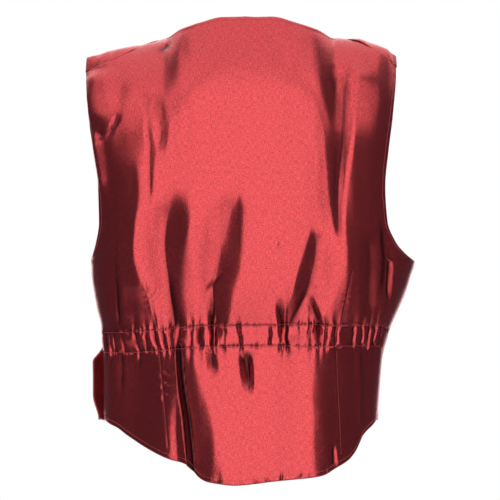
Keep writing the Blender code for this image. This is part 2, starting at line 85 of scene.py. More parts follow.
backArmhole = inMetres({
    "climb": (-289, -286, -279, -266, -239, -194, -148, -102, -35, 20),
    "left": (201.5, 199.5, 196.5, 192, 187, 188, 195, 201.8, 206.8, 207.2),
    "right": (219, 213, 204, 192, 180, 177, 181.5, 188, 194, 195),
})
frontArmhole = inMetres({
    "climb": (-289, -286, -279, -266, -239, -194, -148, -102, -35, 53, 130),
    "left": (201.5, 198, 191.5, 182, 166, 157, 162, 173, 192, 206.5, 207.2),
    "right": (219, 210, 198, 185, 166, 156, 159, 168, 184, 194.5, 195),
})
backHem = inMetres({
    "share": (-1.0, -0.92, -0.784, -0.718, -0.69, -0.656, -0.606, -0.514, -0.421, -0.306, -0.135, -0.045,
        0.058, 0.149, 0.213, 0.255, 0.285, 0.31, 0.403, 0.517, 0.613, 0.694, 0.775, 0.92, 1.0),
    "height": (-491, -493.2, -502.3, -511.3, -520.9, -530.4, -539.2, -547.9, -557.2, -560.6, -564.3,
        -566.8, -568.7, -566.8, -564.4, -559.5, -552, -543, -537.2, -528.2, -519.3, -510.1, -500.6,
        -493.6, -489),
}, "share")
casingLine = inMetres({
    "share": (-1.0, -0.9, -0.75, -0.3, 0.0, 0.25, 0.5, 0.8, 1.0),
    "height": (-383, -376.5, -371.5, -369.5, -370, -371.5, -376.5, -380.5, -381.5),
}, "share")
frontHem = inMetres({
    "share": (0.0, 0.1, 0.3, 0.55, 0.8, 1.0),
    "height": (-526, -532, -525, -513, -502, -495),
}, "share")

# folds: the line that each follows as (girth, height) from its top down, how far it reaches to the
# middle and to the side at its top and foot, its depth there, how sharp its line is, and how its ends fade
foldColumns = ("line", "inner", "outer", "depth", "sharp", "fade")
backFolds = readRows(foldColumns, {
    "leftTerrace": (((90, -186), (100, -225), (105, -270), (101, -310), (97, -340), (92, -372),
        (90, -400)), (20, 34, 41, 40, 36, 26), (18, 36, 38, 30, 22, 14), (6, 10.4, 11.4, 10.6, 9.2, 6.6),
        (0.3, 0.5, 0.9), (60, 26)),
    "slantingFold": (((14, -188), (21, -225), (30, -262), (37, -298), (42, -326), (41, -370), (40, -398)),
        (18, 28, 36, 32, 24, 14), (40, 46, 48, 42, 30), (5, 9.2, 11.5, 11.2, 9, 6), (0.4, 0.7, 0.8),
        (40, 24)),
    "slantingHook": (((30, -306), (40, -318), (50, -330)), (6, 6), (6, 6), (1, 1.6, 1), 0.5, (10, 8)),
    "rightFlank": (((-86, -240), (-90, -262), (-89, -285), (-85, -306), (-80, -325), (-71, -345),
        (-57, -372), (-53, -396)), (6, 15, 22, 22, 19, 15, 10), (24, 34, 36, 26),
        (2, 6.8, 8.4, 9, 8.4, 6.6), (0.5, 0.7, 0.8), (26, 20)),
    "rightWedge": (((-79, -330), (-88, -356), (-94, -392)), (6, 16), (4, 10), (3, 7.5), 0.5, (20, 18)),
    "smallWedge": (((-41, -330), (-46, -370), (-47, -390)), (7, 6), (7, 5), (1.6, 5.2, 4), 0.5, (24, 12)),
    "shortNick": (((-40, -262), (-43, -278)), (3, 3), (3, 3), (1.2, 1.2), 0.4, (8, 8)),
    "rightLong": (((-125, -30), (-126, -120), (-123, -150), (-118, -200), (-115, -290)),
        (36, 35, 28, 17, 8, 3), (15, 14, 10, 6), (8.6, 9.4, 7.4, 4.6, 2, 0.6), (0.2, 0.3, 0.7), (40, 60)),
    "rightCrease": (((-130, -40), (-125, -150), (-117, -290)), (3, 3), (4, 4), (0.8, 0.8), 0.8, (30, 50)),
    "rightSlant": (((-126, -210), (-126, -300), (-118, -340), (-110, -368), (-100, -420)), (52, 40),
        (50, 60), (-3.6, -5.2, -4.6, -4), 0.6, (60, 40)),
    "rightTop": (((-142, -20), (-144, -78)), (14, 14), (46, 46), (-3, -3.2), 0.4, (40, 30)),
    "rightArch": (((-155, -258), (-160, -364)), (12, 14), (16, 16), (3.2, 2.4), 0.3, (8, 20)),
    "rightRoll": (((-186, -268), (-189, -312), (-190, -350)), (7, 7), (6, 6), (2.4, 5, 4), 0.7, (30, 30)),
    "leftLong": (((124, -60), (124, -120), (121, -150), (120, -240)), (7, 8, 5), (6, 5), (0.7, 1.6, 0.8),
        0.7, (30, 40)),
    "leftHaze": (((124, -62), (116, -84), (109, -108), (107, -134), (110, -156)), (15, 13, 9), (18, 16),
        (2.2, 3.1, 2), 0.2, (28, 20)),
    "leftTop": (((206, -20), (208, -75), (206, -130)), (54, 46), (30, 30), (-6, -8.5, -6), 0.3, (30, 30)),
    "leftRidge": (((160, -240), (161, -300), (163, -376)), (10, 10), (5, 5), (-0.7, -0.9), 0.5, (50, 10)),
    "leftGroove": (((167, -262), (168, -376)), (3, 3), (6, 6), (1.4, 1.4), 0.6, (50, 10)),
    "leftFlank": (((146, -130), (134, -205), (139, -250), (141, -285), (136, -310), (124, -345)),
        (40, 40, 24), (58, 56, 50), (-4, -5, -6, -5.6, -2), 0.7, (50, 30)),
    "armStreakLow": (((184, -120), (204, -140)), (8, 10), (6, 6), (4, 4), 0.4, (10, 10)),
    "armStreakHigh": (((160, -100), (184, -134)), (7, 10), (6, 6), (3, 4), 0.4, (12, 12)),
    "sideFoldLeft": (((165, -226), (200, -242)), (10, 10), (10, 10), (2, 4), 0.2, (10, 10)),
    "sideFoldRight": (((-172, -198), (-190, -212)), (8, 8), (8, 8), (3, 4), 0.2, (8, 8)),
    "neckBump": (((104, 22), (100, -6)), (9, 12), (9, 12), (4.4, 2), 0.4, (12, 22)),
    "leftPleat": (((89, -372), (86, -420), (83, -450), (77, -490), (73, -530), (70, -570)),
        (8, 5, 5, 5, 5), (60, 66), (-6, -8.5, -8), 0.6, (30, 1)),
    "leftFall": (((150, -384), (150, -560)), (64, 66), (46, 46), (6.5, 7.5), 0.3, (20, 1)),
    "pleatLip": (((86, -450), (86, -500), (82, -560)), (8, 12), (12, 16), (1, 3.4), 0.4, (30, 1)),
    "pleatHollow": (((84, -388), (82.5, -420), (79.5, -450), (73.5, -490), (69.5, -530), (66.5, -570)),
        (8, 24, 31, 35, 42), (4.5, 4.5), (1.8, 5.4, 7.4, 8.4, 10), 0.8, (12, 1)),
    "commaFold": (((-1, -402), (-3.2, -424), (-5.6, -462)), (13, 12, 6), (6.5, 6), (7.6, 8.4, 2.8),
        (0.3, 0.3), (14, 26)),
    "skirtDimple": (((50, -396), (44, -412), (40, -436)), (8, 10), (8, 10), (4, 3), 0.4, (8, 18)),
    "skirtEdge": (((-86, -376), (-82, -420), (-81, -450), (-83, -490), (-86, -570)), (44, 44), (70, 70),
        (-9, -10.5), 0.15, (26, 1)),
    "skirtLine": (((-148, -399), (-154, -460), (-154, -520)), (14, 14), (5, 5), (-1.8, -2), 0.6,
        (10, 20)),
    "skirtNick": (((-109, -515), (-111, -545)), (6, 6), (4, 6), (2, 4), 0.6, (12, 1)),
    "skirtSideLine": (((168, -400), (169, -470)), (4, 4), (12, 12), (2.2, 2.2), 0.6, (8, 30)),
}, "sharp")
# tight folds where the cloth turns under itself, darkened with painted shade: line, half width at top and
# foot, how dark the painted shade is, fades
darkColumns = ("line", "width", "paintedShade", "fade")
backDarks = readRows(darkColumns, {
    "pleat": (((86.2, -388), (84.4, -420), (81.4, -450), (75.4, -490), (71.4, -530), (68.2, -570)),
        (3.6, 4.6), 1.0, (10, 1)),
    "flankFoot": (((99, -290), (95.5, -330), (92, -350), (88, -374)), (2.6, 7.5), 0.75, (40, 4)),
    "slantFoot": (((47, -326), (43, -345), (42, -374)), (2, 4), 0.8, (20, 4)),
    "slantCorner": (((36, -352), (40, -374)), (3, 5), 0.7, (20, 4)),
    "slantHook": (((29, -304), (39, -317), (49, -329)), (2.2, 1.2), 0.6, (10, 8)),
    "flankRight": (((-80, -315), (-68, -345), (-56, -374)), (2.6, 6), 0.75, (24, 3)),
    "wedgeFoot": (((-46, -345), (-47, -374)), (1.2, 2.6), 0.7, (20, 3)),
    "peakFoot": (((-90, -345), (-94, -374)), (3, 8), 0.6, (20, 4)),
    "leftGroove": (((167.5, -290), (168, -374)), (1.6, 3), 0.8, (30, 10)),
    "longCrease": (((-116.5, -130), (-112, -190), (-110, -240)), (1.2, 1), 0.45, (40, 40)),
    "underarmRight": (((-176, -236), (-178, -300), (-176, -340)), (3, 3), 0.8, (20, 30)),
    "commaTop": (((-0.4, -399), (-2.4, -424), (-5, -452)), (8, 3), 0.8, (6, 22)),
    "skirtGroove": (((170, -404), (170, -470)), (1.4, 1), 0.6, (4, 30)),
    "skirtLine": (((-150, -402), (-155, -470), (-155, -510)), (1.6, 1.4), 0.6, (6, 30)),
    "shortNick": (((-39.5, -262), (-43, -278)), (1, 0.8), 0.6, (6, 6)),
    "neckShade": (((-52, 60), (-75, 30)), (2, 2), 0.6, (10, 10)),
    "neckPucker": (((109, 18), (104, -10)), (7, 5), 0.8, (10, 16)),
}, "paintedShade")
# darts: the seam line from its top down, how far its puckers spread, where they lie, their pitch and height
dartColumns = ("line", "spread", "puckers", "pitch", "height")
backDarts = readRows(dartColumns, {
    "leftWaist": (((126, -312), (120, -340), (113, -378)), 11, (-348, -318), 5, 1),
    "leftSkirt": (((110, -402), (105, -450), (97, -525)), 14, (-470, -425), 13, 1),
    "rightWaist": (((-134, -300), (-129, -325), (-119, -378)), 8, (-345, -310), 7, 0.6),
    "rightSkirt": (((-114, -402), (-117, -460), (-122, -535)), 10, (-470, -430), 18, 0.5),
})
frontFolds = readRows(foldColumns, {
    "chestFold": (((105, -60), (100, -140), (92, -210)), (26, 20), (22, 20), (4, 5), 0.3, (50, 70)),
    "waistFold": (((86, -300), (94, -360), (100, -430)), (22, 20), (30, 30), (4.5, 6), 0.5, (60, 60)),
    "shoulderFold": (((160, 60), (150, 0), (138, -70)), (14, 16), (12, 14), (3, 4), 0.4, (40, 60)),
    "armFold": (((150, -235), (128, -262), (112, -300)), (18, 16), (16, 14), (5, 3.6), 0.5, (14, 30)),
    "sideFold": (((168, -300), (160, -360), (156, -450)), (18, 20), (22, 22), (5, 5.5), 0.5, (30, 50)),
    "sideShort": (((186, -330), (182, -400)), (12, 12), (10, 10), (3, 3), 0.5, (25, 30)),
    "hipFold": (((120, -420), (126, -505)), (20, 26), (18, 24), (2, 5), 0.4, (40, 1)),
    "skirtFold": (((58, -440), (50, -520)), (18, 22), (16, 20), (2, 4.6), 0.3, (40, 1)),
}, "sharp")
# gathers at the casing, from the left side seam to the right one: place, depth in the band, how far the
# crease reaches to the left and to the right, its lean from the upper to the lower stitch line, and the
# depth and length of the fold that runs up and the one that runs down from it
gatherColumns = ("girth", "depth", "toLeft", "toRight", "lean", "up", "upReach", "down", "downReach")
gathers = readRows(gatherColumns, (
    (197, 2.4, 4, 6, -1.5, 1.6, 16, 2.4, 12),
    (188, 2.4, 4, 6, -2, 1.6, 12, 2.6, 14),
    (179, 2, 3.6, 4.6, -1.5, 1.2, 12, 1.6, 8),
    (164, 1.2, 4, 4, -1, 1.6, 14, 0.8, 6),
    (143, 2.8, 4.6, 4.6, -4, 2.2, 16, 3.6, 14),
    (129, 1.4, 3.6, 7, -1, 2, 10, 1.4, 6),
    (115, 3, 5.2, 6, -7, 3, 14, 1.8, 6),
    (104, 3, 5.6, 5, -7, 2.6, 10, 3, 10),
    (94.5, 2.6, 3.6, 5, -2, 2, 6, 3, 10),
    (85, 3, 4, 5, -1, 2, 6, 2, 6),
    (70, 1.2, 3, 5, 1, 2.4, 10, 3, 12),
    (57, 3.4, 8, 5, -1, 2.6, 10, 3, 12),
    (43, 4.4, 2.4, 2.8, -1, 4.4, 14, 3.4, 14),
    (38, 3.4, 1.8, 1.8, 1, 2.4, 8, 2, 12),
    (27, 0.6, 3, 3, 0, 1, 4, 3, 8),
    (7, 3, 1.8, 2, -3, 2.2, 6, 3.4, 8),
    (-13, 0.5, 3, 3, 1, 0.8, 4, 1.6, 5),
    (-31, 3, 1.8, 1.8, 1, 1.6, 5, 1.4, 4),
    (-45, 1.4, 1.8, 1.8, 1, 2.6, 10, 3.4, 10),
    (-52, 4.6, 2.6, 2.6, 1, 4, 16, 3.4, 9),
    (-66, 0.6, 3, 3, 1, 1, 5, 1.4, 4),
    (-80, 2.4, 5, 3, 2, 3, 12, 3, 12),
    (-92, 3, 5, 3.4, 2, 2.4, 8, 2.4, 10),
    (-100, 2.6, 3, 3, 3, 2.2, 8, 2.4, 6),
    (-113, 4, 4, 3.4, 2, 3, 12, 2, 6),
    (-138, 2.4, 5, 3.8, 1, 1.8, 12, 1.2, 4),
    (-152, 2, 8, 3.6, 1, 2.2, 12, 1.6, 5),
    (-163, 2.4, 6, 3.6, 2, 2.2, 14, 2, 8),
    (-173, 2.4, 6, 3.6, 3, 2.2, 14, 2, 8),
    (-185, 2, 6, 3.6, 3, 1.6, 12, 1.6, 8),
))


def glide(known, values, wanted):
    # smooth curve through a short table, never past its rows
    known = np.asarray(known, dtype=float)
    values = np.asarray(values, dtype=float)
    order = np.argsort(known)
    known, values = known[order], values[order]
    step = np.diff(known)
    rise = np.diff(values) / step
    slope = np.zeros_like(values)
    same = rise[:-1] * rise[1:] > 0.0
    mean = 2.0 * rise[:-1] * rise[1:] / np.where(same, rise[:-1] + rise[1:], 1.0)
    slope[1:-1] = np.where(same, mean, 0.0)
    slope[0], slope[-1] = rise[0], rise[-1]
    place = np.clip(np.asarray(wanted, dtype=float), known[0], known[-1])
    row = np.clip(np.searchsorted(known, place) - 1, 0, len(step) - 1)
    t = (place - known[row]) / step[row]
    start = (1.0 + 2.0 * t) * (1.0 - t) ** 2 * values[row]
    finish = t * t * (3.0 - 2.0 * t) * values[row + 1]
    lean = t * (1.0 - t) ** 2 * slope[row] - t * t * (1.0 - t) * slope[row + 1]
    return start + finish + lean * step[row]


def soften(share):
    share = np.clip(share, 0.0, 1.0)
    return share * share * (3.0 - 2.0 * share)


def crest(face, across):
    left = glide(crestLeft["across"], crestLeft["height"], np.abs(across))
    right = glide(crestRight["across"], crestRight["height"], np.abs(across))
    ridge = np.where(across > 0.0, left, right)
    inside = np.where(across > 0.0, bodyForm["neckLeft"], bodyForm["neckRight"]) - np.abs(across)
    return np.where((face < 0) & (inside > 0.0), 0.20 * inside, ridge)


def section(face, sign, height):
    width = np.where(sign > 0.0, glide(levels["height"], levels["left"], height),
                     glide(levels["height"], levels["right"], height))
    depth = glide(levels["height"], levels["back" if face > 0 else "front"], height)
    return width, depth, glide(levels["height"], levels["exponent"], height)


def arcs(width, depth, exponent):
    angle = np.linspace(0.0, math.pi / 2.0, bodyForm["arcSteps"])
    power = 2.0 / exponent[..., None]
    x = width[..., None] * np.sin(angle) ** power
    y = depth[..., None] * np.abs(np.cos(angle)) ** power
    length = np.hypot(np.diff(x, axis=-1), np.diff(y, axis=-1))
    start = np.zeros(length.shape[:-1] + (1,))
    return angle, np.concatenate([start, np.cumsum(length, axis=-1)], axis=-1)


def lookUp(table, wanted, values):
    # linear reading of a rising table held along the last axis
    place = np.sum(table <= wanted[..., None], axis=-1) - 1
    place = np.clip(place, 0, table.shape[-1] - 2)
    low = np.take_along_axis(table, place[..., None], -1)[..., 0]
    high = np.take_along_axis(table, place[..., None] + 1, -1)[..., 0]
    share = np.clip((wanted - low) / np.maximum(high - low, 1e-12), 0.0, 1.0)
    return values[place] + (values[place + 1] - values[place]) * share


def girthAt(across, width, depth, exponent):
    share = np.clip(np.abs(across) / width, 0.0, 1.0)
    wanted = np.arcsin(np.clip(share ** (exponent / 2.0), 0.0, 1.0))
    angle, reached = arcs(width, depth, exponent)
    stepAngle = angle[1] - angle[0]
    place = np.clip((wanted / stepAngle).astype(int), 0, len(angle) - 2)
    low = np.take_along_axis(reached, place[..., None], -1)[..., 0]
    high = np.take_along_axis(reached, place[..., None] + 1, -1)[..., 0]
    return low + (high - low) * (wanted / stepAngle - place)


def heightOf(climb, ridge):
    start = ridge - bodyForm["shoulderRoll"]
    turn = np.maximum(climb - start, 0.0) / bodyForm["shoulderRoll"]
    height = np.where(climb < start, climb, start + bodyForm["shoulderRoll"] * np.sin(turn))
    return height, np.cos(turn)


def climbOf(behind, past):
    turn = math.pi / 2.0 + (behind if past else -behind)
    return bodyForm["shoulderRoll"] * (turn - 1.0)


def torso(face, girth, climb):
    sign = np.where(girth < 0.0, -1.0, 1.0)
    height = np.minimum(climb, 0.0)
    for _ in range(4):
        width, depth, exponent = section(face, sign, height)
        angle, reached = arcs(width, depth, exponent)
        turned = lookUp(reached, np.abs(girth), angle)
        across = sign * width * np.sin(turned) ** (2.0 / exponent)
        height, left = heightOf(climb, crest(face, across))
    depth = np.where(left < 0.0, section(-face, sign, height)[1], depth)
    out = depth * np.abs(np.cos(turned)) ** (2.0 / exponent) * left
    return np.stack([across, face * out, height], axis=-1)


def edgeGirth(face, table, climb, sign):
    across = np.where(sign > 0.0, glide(table["climb"], table["left"], climb),
                      glide(table["climb"], table["right"], climb))
    height = heightOf(climb, crest(face, sign * across))[0]
    width, depth, exponent = section(face, sign, height)
    full = girthAt(width, width, depth, exponent)
    cut = girthAt(np.minimum(across, width), width, depth, exponent)
    vent = climb < bodyForm["casingSideTop"] - bodyForm["casingHeight"]      # the side vent
    full = np.where(climb <= bodyForm["underarm"] + 1e-6, full, cut)
    return full - np.where(vent, 0.5 * bodyForm["seamGap"], 0.0)


def near(value, width):
    return np.exp(-(value / width) ** 2)


def faded(height, top, foot, fade):
    # whole between two heights, fading out at the top and at the foot
    return soften((top - height) / fade[0]) * soften((height - foot) / fade[1])


def alongLine(line, girth, height):
    # how far each place lies from the line, the line's two ends, and the share of the way down it
    girths, heights = zip(*line)
    top, foot = heights[0], heights[-1]
    down = np.clip((top - height) / (top - foot), 0.0, 1.0)
    return girth - glide(heights, girths, height), top, foot, down


def spread(values, down):
    # values given in even steps from the top of a line to its foot
    return np.interp(down, np.linspace(0.0, 1.0, np.size(values)), np.ravel(values))


def foldDepth(folds, girth, height):
    total = np.zeros_like(girth)
    for fold in folds:
        away, top, foot, down = alongLine(fold["line"], girth, height)
        outward = 1.0 if sum(place[0] for place in fold["line"]) > 0.0 else -1.0
        reach = np.where(away * outward > 0.0, spread(fold["outer"], down), spread(fold["inner"], down))
        closeness = np.clip(1.0 - np.abs(away) / reach, 0.0, 1.0)
        sharp = spread(fold["sharp"], down)
        shape = sharp * closeness ** 1.2 + (1.0 - sharp) * soften(closeness)
        total += spread(fold["depth"], down) * shape * faded(height, top, foot, fold["fade"])
    return total


# painted shade along each tight fold line, darkest on the line and fading to each side
def darkness(lines, girth, height):
    total = np.zeros_like(girth)
    for line in lines:
        away, top, foot, down = alongLine(line["line"], girth, height)
        shade = line["paintedShade"] * near(away, spread(line["width"], down))
        total = np.maximum(total, shade * faded(height, top, foot, line["fade"]))
    return total


def cavities(girth, depth, reach, full):
    # how far each place lies below its neighbours on the same row, which sets the painted shade in the
    # hollows
    total = np.zeros_like(depth)
    for i in range(len(depth)):
        line, low = girth[i, ::-1], depth[i, ::-1]
        around = [np.interp(line + reach * k, line, low) for k in (-1.0, -0.5, 0.5, 1.0)]
        total[i] = (low - np.mean(around, axis=0))[::-1]
    return np.clip(total / full, 0.0, 1.0)


dartPart = {
    "ends": (0.006, 0.003), "groove": 0.0005, "grooveWidth": 0.0014,
    "ridge": 0.0003, "ridgeWidth": 0.0016, "ridgeAway": 0.0030,
    "puckerEnds": (0.008, 0.008), "slant": 0.25, "waver": 0.0015, "waverRate": 500.0, "clearOfSeam": 0.003,
}


def dartDepth(darts, part, girth, height):
    # a fine sewn groove with short puckers across it
    total = np.zeros_like(girth)
    for dart in darts:
        away, top, foot, _ = alongLine(dart["line"], girth, height)
        groove = part["groove"] * near(away, part["grooveWidth"])
        ridge = part["ridge"] * near(away - part["ridgeAway"], part["ridgeWidth"])
        total += (groove - ridge) * faded(height, top, foot, part["ends"])
        slanted = height + part["slant"] * np.abs(away) + part["waver"] * np.sin(away * part["waverRate"])
        wave = dart["height"] * np.sin(slanted * 2.0 * math.pi / dart["pitch"])
        across = near(away, dart["spread"]) * soften(np.abs(away) / part["clearOfSeam"])
        low, high = dart["puckers"]
        total += wave * across * faded(height, high, low, part["puckerEnds"])
    return total


def casingReach():
    level = np.array([bodyForm["casingSideTop"] - 0.5 * bodyForm["casingHeight"]])
    sides = []
    for sign in (1.0, -1.0):
        width, depth, exponent = section(1, np.array([sign]), level)
        sides.append(float(girthAt(width, width, depth, exponent)[0]))
    return sides


def topClimb(face, girthsOf, past):
    across = girthsOf(0.0)
    for _ in range(5):
        neck = np.where(across > 0.0, bodyForm["neckLeft"], bodyForm["neckRight"])
        behind = glide(seamTurn["beyondNeck"], seamTurn["turn"], np.abs(across) - neck)
        climb = crest(face, across) + climbOf(behind, past) - 0.1 * bodyForm["seamGap"]
        if not past:
            sign = np.where(across < 0.0, -1.0, 1.0)
            width, depth, exponent = section(face, sign, crest(face, across) * 0.5)
            side = 1.0 - np.clip(np.abs(across) / width, 0.0, 1.0) ** exponent
            full = np.maximum(depth * side ** (1.0 / exponent), 0.001)
            arch = np.sqrt(np.clip(1.0 - (across / neck) ** 2, 0.0, 1.0))
            left = np.clip(bodyForm["neckBackDepth"] * arch / full, 0.0, 0.95)
            neckClimb = crest(face, across) + bodyForm["shoulderRoll"] * (np.arccos(left) - 1.0)
            climb = np.where(np.abs(across) < neck, neckClimb, climb)
        across = torso(face, girthsOf(climb), climb)[..., 0]
    return climb


def bandRows(marks, counts, crowd):
    # rows between marks; crowd above 0 draws them towards the lower mark of the band, below 0 to the upper
    rows = [marks[0]]
    for i, count in enumerate(counts):
        for k in range(1, count + 1):
            t = k / count
            t = t + crowd[i] * (t * t - t)
            rows.append(marks[i] + (marks[i + 1] - marks[i]) * t)
    return np.array(rows)


def facingOf(face, girth, climb):
    # outward direction of the bare form, from points a little to each side
    step = bodyForm["probe"]
    along = torso(face, girth + step, climb) - torso(face, girth - step, climb)
    up = torso(face, girth, climb + step) - torso(face, girth, climb - step)
    normal = face * np.cross(up, along)
    return normal / np.linalg.norm(normal, axis=-1, keepdims=True)


def clothNoise(girth, climb, size, seed, stretch=1.0):
    # smooth value noise over the cloth; stretch draws it out along the climb
    flat = zip((girth / size).ravel(), (climb / (size * stretch)).ravel())
    values = [noise.noise(Vector((g, c, seed))) for g, c in flat]
    return np.array(values).reshape(girth.shape)


def unevenness(layers, girth, climb, shift=0.0):
    # layers of noise, each with its depth, size, seed and stretch
    total = np.zeros_like(girth)
    for depth, size, seed, stretch in layers:
        total += depth * clothNoise(girth, climb, size, seed + shift, stretch)
    return total


# materials; a grain is how often it repeats in a metre, across and down, and its detail
satin = {
    "deep": (0.360, 0.0270, 0.0330, 1.0), "bright": (0.800, 0.0980, 0.1060, 1.0),
    # the crease colour is painted shade: it multiplies the cloth's colour down in tight folds and hollows
    "creaseShadeColour": (0.04, 0.03, 0.05, 1.0), "metallic": 0.88, "specular": 0.5,
    "roughness": 0.245, "shiniest": -0.03, "dullest": 0.04, "coat": 0.08, "coatRoughness": 0.30,
    "sheen": 0.06, "sheenRoughness": 0.45, "sheenTint": (1.0, 0.55, 0.60, 1.0),
    "weft": (220.0, 1200.0, 2.0), "warp": (1100.0, 160.0, 2.0), "speck": (760.0, 760.0, 2.0),
    "speckShare": 0.35, "weaveRange": (0.36, 0.64), "relief": 0.60, "reliefDepth": 0.0004,
    "wear": (14.0, 9.0, 3.0), "wearRange": (0.3, 0.7),
}


def satinMaterial(name, part, tint=1.0):
    material = bpy.data.materials.new(name)
    material.use_nodes = True
    nodes, links = material.node_tree.nodes, material.node_tree.links
    shader = nodes["Principled BSDF"]
    for label, key in (("Metallic", "metallic"), ("Specular IOR Level", "specular"),
                       ("Coat Weight", "coat"), ("Coat Roughness", "coatRoughness"),
                       ("Sheen Weight", "sheen"), ("Sheen Roughness", "sheenRoughness"),
                       ("Sheen Tint", "sheenTint")):
        shader.inputs[label].default_value = part[key]
    uv = nodes.new("ShaderNodeUVMap")
    uv.uv_map = "cloth"

    def grain(across, down, detail):
        mapping = nodes.new("ShaderNodeMapping")
        mapping.inputs["Scale"].default_value = (across, down, 1.0)
        links.new(uv.outputs["UV"], mapping.inputs["Vector"])
        texture = nodes.new("ShaderNodeTexNoise")
        texture.inputs["Scale"].default_value = 1.0
        texture.inputs["Detail"].default_value = detail
        links.new(mapping.outputs["Vector"], texture.inputs["Vector"])
        return texture.outputs["Fac"]

    def mixed(first, second, share):
        blend = nodes.new("ShaderNodeMix")
        blend.data_type = "FLOAT"
        blend.inputs[0].default_value = share
        links.new(first, blend.inputs[2])
        links.new(second, blend.inputs[3])
        return blend.outputs[0]

    threads = mixed(grain(*part["weft"]), grain(*part["warp"]), 0.5)
    weave = mixed(threads, grain(*part["speck"]), part["speckShare"])
    ramp = nodes.new("ShaderNodeValToRGB")
    for stop, place, colour in zip(ramp.color_ramp.elements, part["weaveRange"], ("deep", "bright")):
        stop.position = place
        stop.color = [c * tint for c in part[colour][:3]] + [1.0]
    links.new(weave, ramp.inputs["Fac"])
    # painted shade: the crease shade attribute darkens the base colour where folds and hollows would lie in
    # shadow
    shadeAttribute = nodes.new("ShaderNodeAttribute")
    shadeAttribute.attribute_name = "crease"
    shadow = nodes.new("ShaderNodeMix")      # little light comes back out of a tight crease
    shadow.data_type = "RGBA"
    shadow.blend_type = "MULTIPLY"
    shadow.inputs["B"].default_value = part["creaseShadeColour"]
    links.new(shadeAttribute.outputs["Fac"], shadow.inputs["Factor"])
    links.new(ramp.outputs["Color"], shadow.inputs["A"])
    links.new(shadow.outputs["Result"], shader.inputs["Base Color"])
    rough = nodes.new("ShaderNodeMapRange")      # worn, slightly dull areas
    rough.inputs["From Min"].default_value = part["wearRange"][0]
    rough.inputs["From Max"].default_value = part["wearRange"][1]
    rough.inputs["To Min"].default_value = part["roughness"] + part["shiniest"]
    rough.inputs["To Max"].default_value = part["roughness"] + part["dullest"]
    links.new(grain(*part["wear"]), rough.inputs["Value"])
    links.new(rough.outputs["Result"], shader.inputs["Roughness"])
    bump = nodes.new("ShaderNodeBump")
    bump.inputs["Strength"].default_value = part["relief"]
    bump.inputs["Distance"].default_value = part["reliefDepth"]
    links.new(weave, bump.inputs["Height"])
    links.new(bump.outputs["Normal"], shader.inputs["Normal"])
    return material


def plainMaterial(name, colour, roughness, sheen=0.0):
    material = bpy.data.materials.new(name)
    material.use_nodes = True
    shader = material.node_tree.nodes["Principled BSDF"]
    shader.inputs["Base Color"].default_value = colour
    shader.inputs["Roughness"].default_value = roughness
    shader.inputs["Sheen Weight"].default_value = sheen
    return material


redSatin = satinMaterial("satin_red", satin)
thread = plainMaterial("thread_red", (0.52, 0.060, 0.066, 1.0), 0.42, 0.3)
print("materials made")


def placed(name, data):
    item = bpy.data.objects.new(name, data)
    bpy.context.scene.collection.objects.link(item)
    return item


thickSteps = 20      # the shell's thickness is given in this many steps


def clothPiece(name, points, uv, thick, crease, material, part):
    # a grid shaped to the given rows and columns, then given its thickness inwards
    rows, columns = points.shape[:2]
    grid = bmesh.new()
    bmesh.ops.create_grid(grid, x_segments=columns - 1, y_segments=rows - 1, size=0.5)
    grid.verts.ensure_lookup_table()
    column = np.array([round((v.co.x + 0.5) * (columns - 1)) for v in grid.verts])
    row = np.array([round((v.co.y + 0.5) * (rows - 1)) for v in grid.verts])
    mesh = bpy.data.meshes.new(name)
    grid.to_mesh(mesh)
    grid.free()
    mesh.vertices.foreach_set("co", points[row, column].astype(np.float32).ravel())
    layer = mesh.uv_layers.new(name="cloth")
    corner = np.zeros(len(mesh.loops), dtype=np.int32)
    mesh.loops.foreach_get("vertex_index", corner)
    layer.data.foreach_set("uv", uv[row, column][corner].astype(np.float32).ravel())
    # painted shade: how much the material darkens each point's colour in a fold or hollow
    creaseShadeLayer = mesh.attributes.new("crease", "FLOAT", "POINT")
    creaseShadeLayer.data.foreach_set("value", crease[row, column].astype(np.float32))
    mesh.polygons.foreach_set("use_smooth", np.ones(len(mesh.polygons), dtype=bool))
    mesh.materials.append(material)
    piece = placed(name, mesh)
    mesh.update()
    middle = Vector(points[rows // 2, columns // 2])
    centre = min(mesh.polygons, key=lambda p: (p.center - middle).length)
    if centre.normal.y * part["face"] < 0.0:
        turned = bmesh.new()
        turned.from_mesh(mesh)
        bmesh.ops.reverse_faces(turned, faces=turned.faces)
        turned.to_mesh(mesh)
        turned.free()
    group = piece.vertex_groups.new(name="thick")
    weights = thick[row, column]
    for step in range(thickSteps + 1):
        members = np.nonzero(np.round(weights * thickSteps) == step)[0]
        if len(members):
            group.add([int(m) for m in members], step / thickSteps, "REPLACE")
    wall = piece.modifiers.new("wall", "SOLIDIFY")
    wall.thickness = part["thickness"]
    wall.offset = -1.0
    wall.vertex_group = "thick"
    wall.thickness_vertex_group = 0.0
    wall.use_even_offset = False
    return piece


backPart = {
    "face": 1, "thickness": 0.0020, "perGather": 9, "bunching": 0.55, "straightShare": 0.62,
    "rows": (5, 30, 12, 9, 12, 26, 54, 4), "crowd": (0.0, -0.3, 0.0, 0.0, 0.0, 0.45, 0.10, 0.0),
    "besideStitch": 0.010, "withinStitch": 0.004, "hemWidth": 0.0075, "stripRows": (0.60, 0.40),
    # the cavity numbers set where and how strongly painted shade darkens the hollows
    "cavityReach": 0.0050, "cavityFull": 0.0019, "cavityShade": 0.95,
    "bandUneven": ((0.0004, 0.0100, 8.4, 2.4),), "looseAbove": 0.05, "looseBelow": 0.04,
    "uneven": ((0.0011, 0.036, 1.7, 2.6), (0.0004, 0.013, 4.9, 3.2)),
    "standOff": 0.0085, "standWidth": 0.024, "standTop": -0.118, "standFoot": -0.215,
    "standFade": (0.02, 0.03),
}


